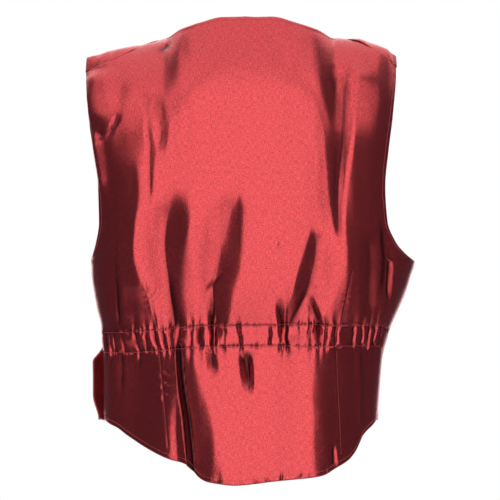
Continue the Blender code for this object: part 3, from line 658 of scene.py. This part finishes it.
def bunchedColumns(part):
    # columns stand closer where a gather is
    left, right = casingReach()
    places = [gather["girth"] for gather in gathers]
    marks = [1.0] + [place / (left if place > 0.0 else right) for place in places] + [-1.0]
    columns = [marks[0]]
    for i in range(len(marks) - 1):
        for k in range(1, part["perGather"] + 1):
            t = k / part["perGather"]
            bunched = 0.5 - 0.5 * math.cos(math.pi * t)
            t = t + part["bunching"] * (bunched - t)
            columns.append(marks[i] + (marks[i + 1] - marks[i]) * t)
    return np.array(columns)


gatherPart = {
    "bandFade": (0.003, 0.003), "wander": 0.0005, "wanderRate": 330.0, "wanderTurn": 2.3,
    # the sharp width, sharp depth and shade depth set the painted shade in each gather's crease and fold
    "sharpWidth": 0.0018, "sharpDepth": 0.0030, "shadeDepth": 0.0034,
    "puff": 0.0006, "puffFade": (0.008, 0.008),
    "startWidth": 0.0030, "openUp": 0.32, "openDown": 0.36, "gapShare": 1.1, "openInGap": 0.10,
}


def gatherDepth(part, girth, height, upper, lower):
    # each gather is a crease in the band and a fold that opens out above it and below it, with painted
    # shade along the crease and down the fold
    left, right = casingReach()
    total = np.zeros_like(height)
    crease = np.zeros_like(height)
    inBand = faded(height, upper, lower, part["bandFade"])
    middle = 0.5 * (upper + lower)
    bent = np.clip((height - middle) / bodyForm["casingHeight"], -0.5, 0.5)
    above = ("up", "upReach", part["openUp"], np.maximum(height - upper, 0.0), height >= middle)
    below = ("down", "downReach", part["openDown"], np.maximum(lower - height, 0.0), height < middle)
    ends = [left] + [gather["girth"] for gather in gathers] + [-right]
    for i, gather in enumerate(gathers):
        wander = part["wander"] * np.sin(height * part["wanderRate"] + i * part["wanderTurn"]) * inBand
        away = girth - gather["girth"] + gather["lean"] * bent + wander
        gap = 0.5 * np.where(away > 0.0, ends[i] - gather["girth"], gather["girth"] - ends[i + 2])
        reach = np.where(away > 0.0, gather["toLeft"], gather["toRight"])
        inside = np.clip(1.0 - np.abs(away) / reach, 0.0, 1.0)
        narrow = np.clip(1.0 - np.abs(away) / part["sharpWidth"], 0.0, 1.0)
        sharp = min(gather["depth"] / part["sharpDepth"], 1.0)
        # painted shade in the narrow crease of each gather and down the middle of the folds that open from
        # it
        crease = np.maximum(crease, soften(narrow) * sharp * inBand)
        total += gather["depth"] * inside ** 1.2 * inBand
        for deep, long, opening, beyond, onSide in (above, below):
            width = np.minimum(part["startWidth"] + opening * beyond,
                               part["gapShare"] * gap + part["openInGap"] * beyond)
            fold = np.clip(1.0 - np.abs(away) / width, 0.0, 1.0)
            run = gather[deep] * np.exp(-beyond / gather[long]) * onSide * (1.0 - inBand)
            total += run * fold ** 1.4
            crease = np.maximum(crease, run * fold ** 4 / part["shadeDepth"])
    bulge = faded(height, upper, lower, part["puffFade"])
    total -= part["puff"] * bulge * (1.0 - crease)
    return total, np.clip(crease, 0.0, 1.0)


tuckPart = {
    "seeds": (3.1, 7.7), "stretch": 40.0, "wobbleSize": 0.0120, "wobble": 0.0012,
    "shift": 1.2, "pitch": 0.0072,
    "strengthSize": 0.0170, "strength": 0.62, "strengthSwing": 1.3, "strengthRange": (0.15, 1.2),
    "groove": 0.0010, "grooveWidth": 0.0012, "uneven": (0.0006, 0.0090, 6.6, 1.2), "unevenWidth": 0.0048,
    # painted shade: how dark the tucks are painted, and a thin painted shade line in each stitched groove
    "depth": 0.0024, "level": 0.35, "width": 0.0040, "paintedShade": 1.5, "darkest": 0.95,
    "darkAbove": 0.0008, "darkWidth": 0.0027, "seamShade": 0.40, "seamWidth": 0.0009,
}


def stitchTucks(part, girth, climb, lines):
    # short uneven tucks that both stitch lines of the casing draw up, with painted shade under each tuck
    # and along each stitched groove
    depth = np.zeros_like(girth)
    crease = np.zeros_like(girth)
    uneven = unevenness((part["uneven"],), girth, climb)
    for line, seed in zip(lines, part["seeds"]):
        wobble = clothNoise(girth, climb, part["wobbleSize"], seed, part["stretch"])
        swing = clothNoise(girth, climb, part["strengthSize"], seed + 2.0, part["stretch"])
        strong = np.clip(part["strength"] + part["strengthSwing"] * swing, *part["strengthRange"])
        turn = 2.0 * math.pi * (girth / part["pitch"] + part["shift"] * wobble)
        tuck = (0.5 + 0.5 * np.sin(turn)) ** 2
        away = climb - line + part["wobble"] * wobble
        depth += part["groove"] * near(away, part["grooveWidth"]) + uneven * near(away, part["unevenWidth"])
        depth += part["depth"] * (tuck - part["level"]) * strong * near(away, part["width"])
        # painted shade under each tuck and along the stitched groove
        paintedShade = np.clip(part["paintedShade"] * tuck ** 2 * strong, 0.0, part["darkest"])
        crease = np.maximum(crease, paintedShade * near(away - part["darkAbove"], part["darkWidth"]))
        crease = np.maximum(crease, part["seamShade"] * near(away, part["seamWidth"]))
    return depth, crease


# turned hems: a stitched line with small puckers, a rolled rim and a few tucks in the back's lower hem,
# with painted shade in those tucks
hemPart = {
    "single": 0.45, "step": 0.002, "flatWithin": 0.012, "groove": 0.0003, "grooveWidth": 0.0012,
    "noise": (0.011, 12.7), "pucker": 0.0005, "puckerIn": 0.004, "puckerWidth": 0.006, "puckerClear": 0.003,
    "roll": 0.0008, "rollWidth": 0.0025, "tuck": 0.0022, "tuckPitch": 0.0170, "tuckShift": 3.0,
    "tuckIn": 0.003, "tuckWidth": 0.005, "tuckGirth": -0.035, "tuckSpread": 0.055,
    "paintedShade": 0.7, "darkIn": 0.002, "darkWidth": 0.004,
}


def hemThickness(rim, hemWidth):
    # the cloth is doubled from the rim to the stitched line
    return hemPart["single"] + (1.0 - hemPart["single"]) * soften((hemWidth - rim) / hemPart["step"])


def makeBack(part):
    share = bunchedColumns(part)
    sign = np.where(share < 0.0, -1.0, 1.0)
    arm = np.full_like(share, bodyForm["underarm"])
    under = edgeGirth(1, backArmhole, arm, sign)
    plain = part["straightShare"]

    def girthsOf(climb):
        # the inner columns hang straight, the outer ones follow the armhole
        climb = np.broadcast_to(climb, share.shape).astype(float)
        edge = edgeGirth(1, backArmhole, climb, sign)
        full = np.where(climb > bodyForm["underarm"], under, edge)
        outer = plain * full + (edge - plain * full) * (np.abs(share) - plain) / (1.0 - plain)
        return sign * np.where(np.abs(share) < plain, np.abs(share) * full, outer)

    hem = glide(backHem["share"], backHem["height"], share)
    upper = glide(casingLine["share"], casingLine["height"], share)
    lower = upper - bodyForm["casingHeight"]
    top = topClimb(1, girthsOf, False)
    beside, within, turned = part["besideStitch"], part["withinStitch"], part["hemWidth"]
    marks = [hem, hem + turned, lower - beside, lower + within, upper - within, upper + beside,
             arm, top - turned, top]
    climb = bandRows(marks, part["rows"], part["crowd"])
    girth = np.array([girthsOf(row) for row in climb])
    edge = np.abs(np.where(share > 0.0, girth[:, :1], girth[:, -1:]))
    base = torso(1, girth, climb)
    out = facingOf(1, girth, climb)

    depth = foldDepth(backFolds, girth, climb) + dartDepth(backDarts, dartPart, girth, climb)
    gathered, crease = gatherDepth(gatherPart, girth, climb, upper, lower)
    depth = depth + gathered
    # painted shade along the tight fold lines of the back
    crease = np.maximum(crease, darkness(backDarks, girth, climb))
    hollow = cavities(girth, depth, part["cavityReach"], part["cavityFull"])
    tucked, tuckShade = stitchTucks(tuckPart, girth, climb, (upper, lower))
    # painted shade in the hollows, joined with the painted shade of the stitch tucks
    crease = np.maximum(np.maximum(crease, part["cavityShade"] * hollow ** 1.3), tuckShade)
    inBand = faded(climb, upper, lower, gatherPart["bandFade"])
    depth = depth + tucked + unevenness(part["bandUneven"], girth, climb) * inBand

    # slow unevenness of hanging satin, and on the left a loose armhole edge that stands off
    loose = soften((climb - upper) / part["looseAbove"]) + soften((lower - climb) / part["looseBelow"])
    depth = depth + unevenness(part["uneven"], girth, climb) * loose
    inFrom = edge - np.abs(girth)
    lift = np.where(girth > 0.0, soften((part["standWidth"] - inFrom) / part["standWidth"]), 0.0)
    lift = lift * faded(climb, part["standTop"], part["standFoot"], part["standFade"])
    depth = depth - part["standOff"] * lift

    # the turned hems: rim is how far in each place lies from the nearest one
    armEdge = np.hypot(inFrom, np.maximum(arm - climb, 0.0))
    ventEdge = np.hypot(inFrom, np.maximum(climb - lower, 0.0))
    hemEdge = climb - hem
    neck = np.where(girth > 0.0, bodyForm["neckLeft"], bodyForm["neckRight"])
    neckEdge = np.where(np.abs(base[..., 0]) < neck, top - climb, 1.0)
    rim = np.minimum(np.minimum(armEdge, hemEdge), np.minimum(neckEdge, ventEdge))
    along = clothNoise(girth, climb, *hemPart["noise"])
    pucker = along * near(rim - hemPart["puckerIn"], hemPart["puckerWidth"])
    pucker = pucker * soften(rim / hemPart["puckerClear"])
    depth = depth * soften(inFrom / hemPart["flatWithin"]) + hemPart["pucker"] * pucker
    depth = depth + hemPart["groove"] * near(rim - part["hemWidth"], hemPart["grooveWidth"])
    depth = depth + hemPart["roll"] * np.clip(1.0 - rim / hemPart["rollWidth"], 0.0, 1.0) ** 2
    turn = girth * 2.0 * math.pi / hemPart["tuckPitch"] + hemPart["tuckShift"] * along
    tuck = (0.5 + 0.5 * np.sin(turn)) ** 6
    here = near(girth - hemPart["tuckGirth"], hemPart["tuckSpread"])
    depth = depth + hemPart["tuck"] * tuck * near(hemEdge - hemPart["tuckIn"], hemPart["tuckWidth"]) * here
    # painted shade in the hem tucks
    paintedShade = hemPart["paintedShade"] * tuck ** 2 * near(hemEdge - hemPart["darkIn"], hemPart["darkWidth"]) * here
    crease = np.maximum(crease, paintedShade)
    points = base - out * depth[..., None]
    uv = np.stack([girth, climb], axis=-1)
    rows = part["rows"]
    stripFirst = rows[0] + rows[1] + round(rows[2] * part["stripRows"][0])
    stripLast = sum(rows[:4]) + round(rows[4] * part["stripRows"][1])
    thick = hemThickness(rim, part["hemWidth"])
    return clothPiece("backPanel", points, uv, thick, crease, redSatin, part), {
        "points": points, "out": out, "girth": girth, "climb": climb, "uv": uv, "crease": crease,
        "hem": hem, "upper": upper, "lower": lower, "top": top, "neck": neck,
        "strip": slice(stripFirst, stripLast + 1)}


frontPart = {
    "face": -1, "thickness": 0.0020, "columns": 91, "rows": (4, 30, 8, 24, 66, 3),
    "crowd": (0.0, 0.0, 0.0, 0.0, 0.10, 0.0), "hemWidth": 0.0075, "neckShort": 0.035, "neckBow": 0.18,
    "foldFade": 0.10, "calmOut": 0.08, "calmIn": 0.2,
    "uneven": ((0.0021, 0.034, 5.3, 2.6), (0.0006, 0.013, 9.1, 3.0)),
    "lapEnd": 0.050, "lapFade": 0.025, "flare": 0.0145, "flareFrom": 0.55, "flareFoot": 0.50,
    "flareTop": -0.398, "flareTopFade": 0.022, "flareEnd": -0.495, "flareEndFade": 0.032,
    "armGroove": 0.0005, "groove": 0.0004, "hemStitch": 0.009, "edgeStitch": 0.006,
}


def makeFront(part, name, sign):
    share = np.linspace(0.0, 1.0, part["columns"])
    neck = bodyForm["neckLeft"] if sign > 0 else bodyForm["neckRight"]
    signs = np.full_like(share, float(sign))
    neckTop = bodyForm["shoulderRoll"] * (math.pi / 2.0 - 1.0) - part["neckShort"]

    def girthsOf(climb):
        # the inner edge runs straight up the lap, then out along the V neck
        climb = np.broadcast_to(climb, share.shape).astype(float)
        rising = np.clip((climb - bodyForm["vPoint"]) / (neckTop - bodyForm["vPoint"]), 0.0, 1.0)
        bowed = (1.0 + part["neckBow"]) * rising - part["neckBow"] * rising ** 3
        inner = -bodyForm["overlap"] + (neck + bodyForm["overlap"]) * bowed
        outer = edgeGirth(-1, frontArmhole, climb, signs)
        return sign * (inner + (outer - inner) * share)

    hem = glide(frontHem["share"], frontHem["height"], share)
    upper = np.full_like(share, bodyForm["casingSideTop"])
    lower = upper - bodyForm["casingHeight"]
    arm = np.full_like(share, bodyForm["underarm"])
    top = topClimb(-1, girthsOf, True)
    turned = part["hemWidth"]
    climb = bandRows([hem, hem + turned, lower, upper, arm, top - turned, top], part["rows"], part["crowd"])
    girth = np.array([girthsOf(row) for row in climb])
    base = torso(-1, girth, climb)
    out = facingOf(-1, girth, climb)
    wide = np.broadcast_to(share, climb.shape)
    depth = foldDepth(frontFolds, girth * sign, climb) * soften((1.0 - wide) / part["foldFade"])
    calm = soften((1.0 - wide) / part["calmOut"]) * soften(wide / part["calmIn"])
    depth = depth + unevenness(part["uneven"], girth, climb, sign) * calm
    if sign > 0:
        # the left front laps over the right one, and its skirt stands out past the back
        lap = soften((part["lapEnd"] - girth) / part["lapFade"])
        depth = depth - (bodyForm["wall"] + bodyForm["seamGap"]) * lap
        outer = soften((wide - part["flareFrom"]) / (1.0 - part["flareFrom"]))
        begun = soften((part["flareTop"] - climb) / part["flareTopFade"])
        left = soften((climb - part["flareEnd"]) / part["flareEndFade"])
        kept = part["flareFoot"] + (1.0 - part["flareFoot"]) * left
        depth = depth - part["flare"] * outer * begun * kept
    span = np.abs(girth[:, -1:] - girth[:, :1])
    armEdge = np.hypot((1.0 - wide) * span, np.maximum(arm - climb, 0.0))
    ventEdge = np.hypot((1.0 - wide) * span, np.maximum(climb - lower, 0.0))
    rim = np.minimum(np.minimum(armEdge, climb - hem), np.minimum(wide * span, ventEdge))
    for inFrom, groove in ((armEdge - part["hemWidth"], part["armGroove"]),
                           (climb - hem - part["hemStitch"], part["groove"]),
                           (wide * span - part["edgeStitch"], part["groove"])):
        depth = depth + groove * near(inFrom, hemPart["grooveWidth"])
    thick = hemThickness(rim, part["hemWidth"])
    points = base - out * depth[..., None]
    uv = np.stack([girth, climb], axis=-1)
    return clothPiece(name, points, uv, thick, np.zeros_like(thick), redSatin, part), {
        "points": points, "out": out, "girth": girth, "climb": climb, "hem": hem}


# sewing: rows of thread laid on the finished cloth
threadPart = {
    "pitch": 0.0029, "length": 0.0021, "width": 0.00042, "rise": 0.00026, "lift": 0.00012, "ahead": 0.0006,
    "inFromEdge": 0.0060, "clearOfArm": 0.006, "clearOfNeck": 0.004, "backTop": 0.010,
    "frontTop": 0.150, "frontFoot": -0.520,
}


def acrossRows(surface, wanted, keep=None):
    # the places where each column meets a height
    columns = surface["climb"].shape[1]
    wanted = np.broadcast_to(wanted, (columns,))
    found = []
    for j in range(columns):
        if keep is None or keep[j]:
            climb = surface["climb"][:, j]
            found.append([np.interp(wanted[j], climb, surface[k][:, j, m])
                          for k in ("points", "out") for m in range(3)])
    return np.array(found)


def downColumns(surface, girthOf, low, high):
    # the places where each row meets a girth, from one height to another
    found = []
    for i in range(surface["climb"].shape[0]):
        middle = float(np.mean(surface["climb"][i]))
        target = girthOf(i, middle)
        order = np.argsort(surface["girth"][i])
        line = surface["girth"][i][order]
        climb = float(np.interp(target, line, surface["climb"][i][order]))
        if low <= climb <= high:
            found.append([np.interp(target, line, surface[k][i, :, m][order])
                          for k in ("points", "out") for m in range(3)])
    return np.array(found)


def sewingPiece(name, paths, part, material, across=False):
    # one bead of thread for each stitch, half sunk in the cloth
    sewn = bmesh.new()
    for path in paths:
        if len(path) < 3:
            continue
        steps = np.linalg.norm(np.diff(path[:, :3], axis=0), axis=1)
        run = np.concatenate([[0.0], np.cumsum(steps)])
        for k in range(int(run[-1] / part["pitch"])):
            here = (k + 0.5) * part["pitch"]
            place, further = [np.array([np.interp(at, run, path[:, m]) for m in range(6)])
                              for at in (here, here + part["ahead"])]
            out = Vector(place[3:]).normalized()
            along = Vector(further[:3] - place[:3]).normalized()
            side = out.cross(along).normalized()
            axes = Matrix((along, side, out)) if across else Matrix((side, along, out))
            turn = axes.transposed().to_4x4()
            size = Matrix.Diagonal((part["width"], part["length"] / 2.0, part["rise"], 1.0))
            at = Matrix.Translation(Vector(place[:3]) + out * part["lift"])
            bmesh.ops.create_icosphere(sewn, subdivisions=1, radius=1.0, matrix=at @ turn @ size)
    mesh = bpy.data.meshes.new(name)
    sewn.to_mesh(mesh)
    sewn.free()
    mesh.polygons.foreach_set("use_smooth", np.ones(len(mesh.polygons), dtype=bool))
    mesh.materials.append(material)
    return placed(name, mesh)


backPanel, backCloth = makeBack(backPart)
inside = threadPart["inFromEdge"]
topGirth = np.abs(backCloth["points"][-1, :, 0])
atNeck = topGirth < np.ravel(backCloth["neck"][-1]) - threadPart["clearOfNeck"]
paths = [acrossRows(backCloth, backCloth[line]) for line in ("upper", "lower")]
paths.append(acrossRows(backCloth, backCloth["hem"] + inside))
paths.append(acrossRows(backCloth, backCloth["top"] - inside, atNeck))
underarm = bodyForm["underarm"] + threadPart["clearOfArm"]
for end, side in ((0, 1.0), (-1, -1.0)):
    paths.append(downColumns(backCloth, lambda i, climb: backCloth["girth"][i, end] - side * inside,
                             underarm, threadPart["backTop"]))
for dart in backDarts:
    girths, heights = zip(*dart["line"])
    paths.append(downColumns(backCloth, lambda i, climb: float(glide(heights, girths, climb)),
                             heights[-1], heights[0]))
backSewing = sewingPiece("backSewing", paths, threadPart, thread)
for piece in (backPanel, backSewing):
    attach(piece, "root")
    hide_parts("back")
print("back panel made")

# the strip behind the casing that holds the elastic
casingPart = {"face": 1, "thickness": 0.0012, "behind": 0.0014, "short": 3, "tint": 0.82}
strip = backCloth["strip"]
stripPoints = backCloth["points"][strip] - backCloth["out"][strip] * casingPart["behind"]
casingSatin = satinMaterial("satin_casing", satin, casingPart["tint"])
inner = slice(casingPart["short"], -casingPart["short"])
# the strip carries the same painted shade in its folds as the panel over it
casingStrip = clothPiece("casingStrip", stripPoints[:, inner], backCloth["uv"][strip][:, inner],
                         np.ones(stripPoints.shape[:2])[:, inner], backCloth["crease"][strip][:, inner],
                         casingSatin, casingPart)
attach(casingStrip, "root")
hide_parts("waist_casing")

# covered buttons: a domed satin cap drawn in round its rim
buttonPart = {
    "radius": 0.0090, "rise": 0.0050, "girdle": 0.0017, "around": 66, "up": 20, "tucks": 22,
    "tuckDepth": 0.016, "capCurve": 0.72, "rimCurve": 0.30, "narrowing": 0.22, "dome": 1.15, "tint": 0.95,
}


def coveredButton(name, node, part, material):
    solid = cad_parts[node]
    foot = max(solid.data.polygons, key=lambda p: p.area)
    corners = [solid.matrix_world @ solid.data.vertices[v].co for v in foot.vertices]
    seat = sum(corners, Vector()) / len(corners)
    out = -(solid.matrix_world.to_3x3() @ foot.normal).normalized()
    side = Vector((0.0, 0.0, 1.0)).cross(out).normalized()
    cap = bmesh.new()
    bmesh.ops.create_uvsphere(cap, u_segments=part["around"], v_segments=part["up"], radius=1.0)
    cloth = cap.loops.layers.uv.new("cloth")
    for vertex in cap.verts:
        x, y, z = vertex.co
        reach = math.hypot(x, y)
        turn = math.atan2(y, x)
        drawn = (1.0 - abs(z)) ** 3 * part["tuckDepth"] * math.cos(part["tucks"] * turn)
        curve = part["capCurve"] if z > 0.0 else part["rimCurve"]
        narrow = 1.0 - max(-z, 0.0) * part["narrowing"]
        wide = part["radius"] * reach ** curve * narrow * (1.0 + drawn)
        dome = (part["rise"] - part["girdle"]) * max(z, 0.0) ** part["dome"]
        height = part["girdle"] * (1.0 + min(z, 0.0)) + dome
        vertex.co = (wide * math.cos(turn), wide * math.sin(turn), height)
    for face in cap.faces:
        face.smooth = True
        for loop in face.loops:
            loop[cloth].uv = (loop.vert.co.x, loop.vert.co.y)
    place = Matrix.Translation(seat) @ Matrix((side, out.cross(side), out)).transposed().to_4x4()
    bmesh.ops.transform(cap, matrix=place, verts=cap.verts)
    mesh = bpy.data.meshes.new(name)
    cap.to_mesh(mesh)
    cap.free()
    mesh.materials.append(material)
    piece = placed(name, mesh)
    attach(piece, "root")
    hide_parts(node)
    return seat, out, side


holePart = {"length": 0.0225, "halfWidth": 0.0013, "beyond": 0.003, "sunk": 0.0006, "steps": 61}


def buttonHole(seat, out, side, part):
    # a long loop round the slit, sewn over with close stitches
    loop = []
    for turn in np.linspace(0.0, 2.0 * math.pi, part["steps"]):
        along = side * (part["beyond"] + 0.5 * part["length"] * math.cos(turn))
        place = seat + along + out.cross(side) * part["halfWidth"] * math.sin(turn)
        loop.append([*(place - out * part["sunk"]), *out])
    return np.array(loop)


buttonSatin = satinMaterial("satin_button", satin, buttonPart["tint"])
holes = []
for number in ("1", "2", "3", "4", "5"):
    seat, out, side = coveredButton("coveredButton" + number, "button_" + number, buttonPart, buttonSatin)
    holes.append(buttonHole(seat, out, side, holePart))
print("buttons made")

closeThread = {**threadPart, "pitch": 0.00085, "length": 0.0022, "width": 0.00036}
for name, node, slotName, sign in (("leftFront", "front_left", "red_satin_front", 1),
                                   ("rightFront", "front_right", "red_satin_right", -1)):
    panel, cloth = makeFront(frontPart, name, sign)
    paths = [acrossRows(cloth, cloth["hem"] + inside),
             downColumns(cloth, lambda i, climb: cloth["girth"][i, 0] + sign * inside,
                         threadPart["frontFoot"], threadPart["frontTop"]),
             downColumns(cloth, lambda i, climb: cloth["girth"][i, -1] - sign * inside,
                         underarm, threadPart["frontTop"])]
    pieces = [panel, sewingPiece(name + "Sewing", paths, threadPart, thread)]
    if sign > 0:
        pieces.append(sewingPiece("buttonHoles", holes, closeThread, thread, across=True))
    for piece in pieces:
        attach(piece, "root")
        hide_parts(node)
print("fronts made")

# stage, light and camera
stagePart = {
    "floorHeight": -2.40, "size": 4.6, "floor": (0.80, 0.80, 0.79, 1.0), "floorRoughness": 0.9,
    "room": (0.90, 0.92, 1.25, 1.0), "roomGlow": 0.06, "backdropGlow": 1.0,
}
floorGrid = bmesh.new()
bmesh.ops.create_grid(floorGrid, x_segments=1, y_segments=1, size=stagePart["size"] / 2.0)
bmesh.ops.translate(floorGrid, verts=floorGrid.verts, vec=(0.0, 0.0, stagePart["floorHeight"]))
floorMesh = bpy.data.meshes.new("floor")
floorGrid.to_mesh(floorMesh)
floorGrid.free()
floorMesh.materials.append(plainMaterial("paleFloor", stagePart["floor"], stagePart["floorRoughness"]))
floor = placed("floor", floorMesh)

# the camera sees a white backdrop, the cloth a dim room
world = bpy.data.worlds.new("studio")
world.use_nodes = True
bpy.context.scene.world = world
nodes, links = world.node_tree.nodes, world.node_tree.links
room = nodes["Background"]
room.inputs["Color"].default_value = stagePart["room"]
room.inputs["Strength"].default_value = stagePart["roomGlow"]
backdrop = nodes.new("ShaderNodeBackground")
backdrop.inputs["Color"].default_value = (1.0, 1.0, 1.0, 1.0)
backdrop.inputs["Strength"].default_value = stagePart["backdropGlow"]
path = nodes.new("ShaderNodeLightPath")
choose = nodes.new("ShaderNodeMixShader")
links.new(path.outputs["Is Camera Ray"], choose.inputs["Fac"])
links.new(room.outputs["Background"], choose.inputs[1])
links.new(backdrop.outputs["Background"], choose.inputs[2])
links.new(choose.outputs["Shader"], nodes["World Output"].inputs["Surface"])


lightPart = {
    "distance": 3.4, "halfAngle": 32.0, "lowest": -2.8, "highest": 3.6, "lowered": 0.27, "glow": 1.48,
    "roofHeight": 2.8, "roofWidth": 4.6, "roofDepth": 5.4, "roofGlow": 1.08,
    "wingAcross": 3.1, "wingOut": 2.3, "wingHeight": 2.5, "wingAim": -0.1,
    "wingWidth": 2.4, "wingTall": 2.2, "wingGlow": 1.05, "colour": (1.0, 0.985, 0.97),
}


def softbox(name, place, aim, width, height, glow):
    # glow is the brightness that a mirror would show
    lamp = bpy.data.lights.new(name, "AREA")
    lamp.shape = "RECTANGLE"
    lamp.size = width
    lamp.size_y = height
    lamp.energy = glow * math.pi * width * height
    lamp.color = lightPart["colour"]
    item = placed(name, lamp)
    item.visible_camera = False
    turn = (Vector(aim) - Vector(place)).to_track_quat("-Z", "Y").to_matrix().to_4x4()
    item.matrix_world = Matrix.Translation(place) @ turn


keyWidth = 2.0 * lightPart["distance"] * math.tan(math.radians(lightPart["halfAngle"]))
keyHeight = lightPart["highest"] - lightPart["lowest"]
keyMiddle = 0.5 * (lightPart["highest"] + lightPart["lowest"]) - lightPart["lowered"]
for name, side in (("keyBack", 1.0), ("keyFront", -1.0)):
    softbox(name, (0.0, side * lightPart["distance"], keyMiddle), (0.0, 0.0, keyMiddle),
            keyWidth, keyHeight, lightPart["glow"])
for side in (1.0, -1.0):
    for turn in (1.0, -1.0):
        softbox("wing" + ("Back" if side > 0 else "Front") + ("Left" if turn > 0 else "Right"),
                (turn * lightPart["wingAcross"], side * lightPart["wingOut"], lightPart["wingHeight"]),
                (0.0, 0.0, lightPart["wingAim"]), lightPart["wingWidth"], lightPart["wingTall"],
                lightPart["wingGlow"])
softbox("roof", (0.0, 0.0, lightPart["roofHeight"]), (0.0, 0.0001, 0.0),
        lightPart["roofWidth"], lightPart["roofDepth"], lightPart["roofGlow"])

cameraPart = {"lens": 144.1, "sensor": 36.0, "farthest": 60.0, "place": (-0.0052, 2.6, -0.2747)}
camera = bpy.data.cameras.new("photoView")
camera.lens = cameraPart["lens"]
camera.sensor_width = cameraPart["sensor"]
camera.clip_end = cameraPart["farthest"]
cameraItem = placed("photoView", camera)
cameraItem.location = cameraPart["place"]
cameraItem.rotation_euler = (math.pi / 2.0, 0.0, math.pi)      # level, looking at the back
bpy.context.scene.camera = cameraItem
bpy.context.scene.view_settings.view_transform = "Standard"
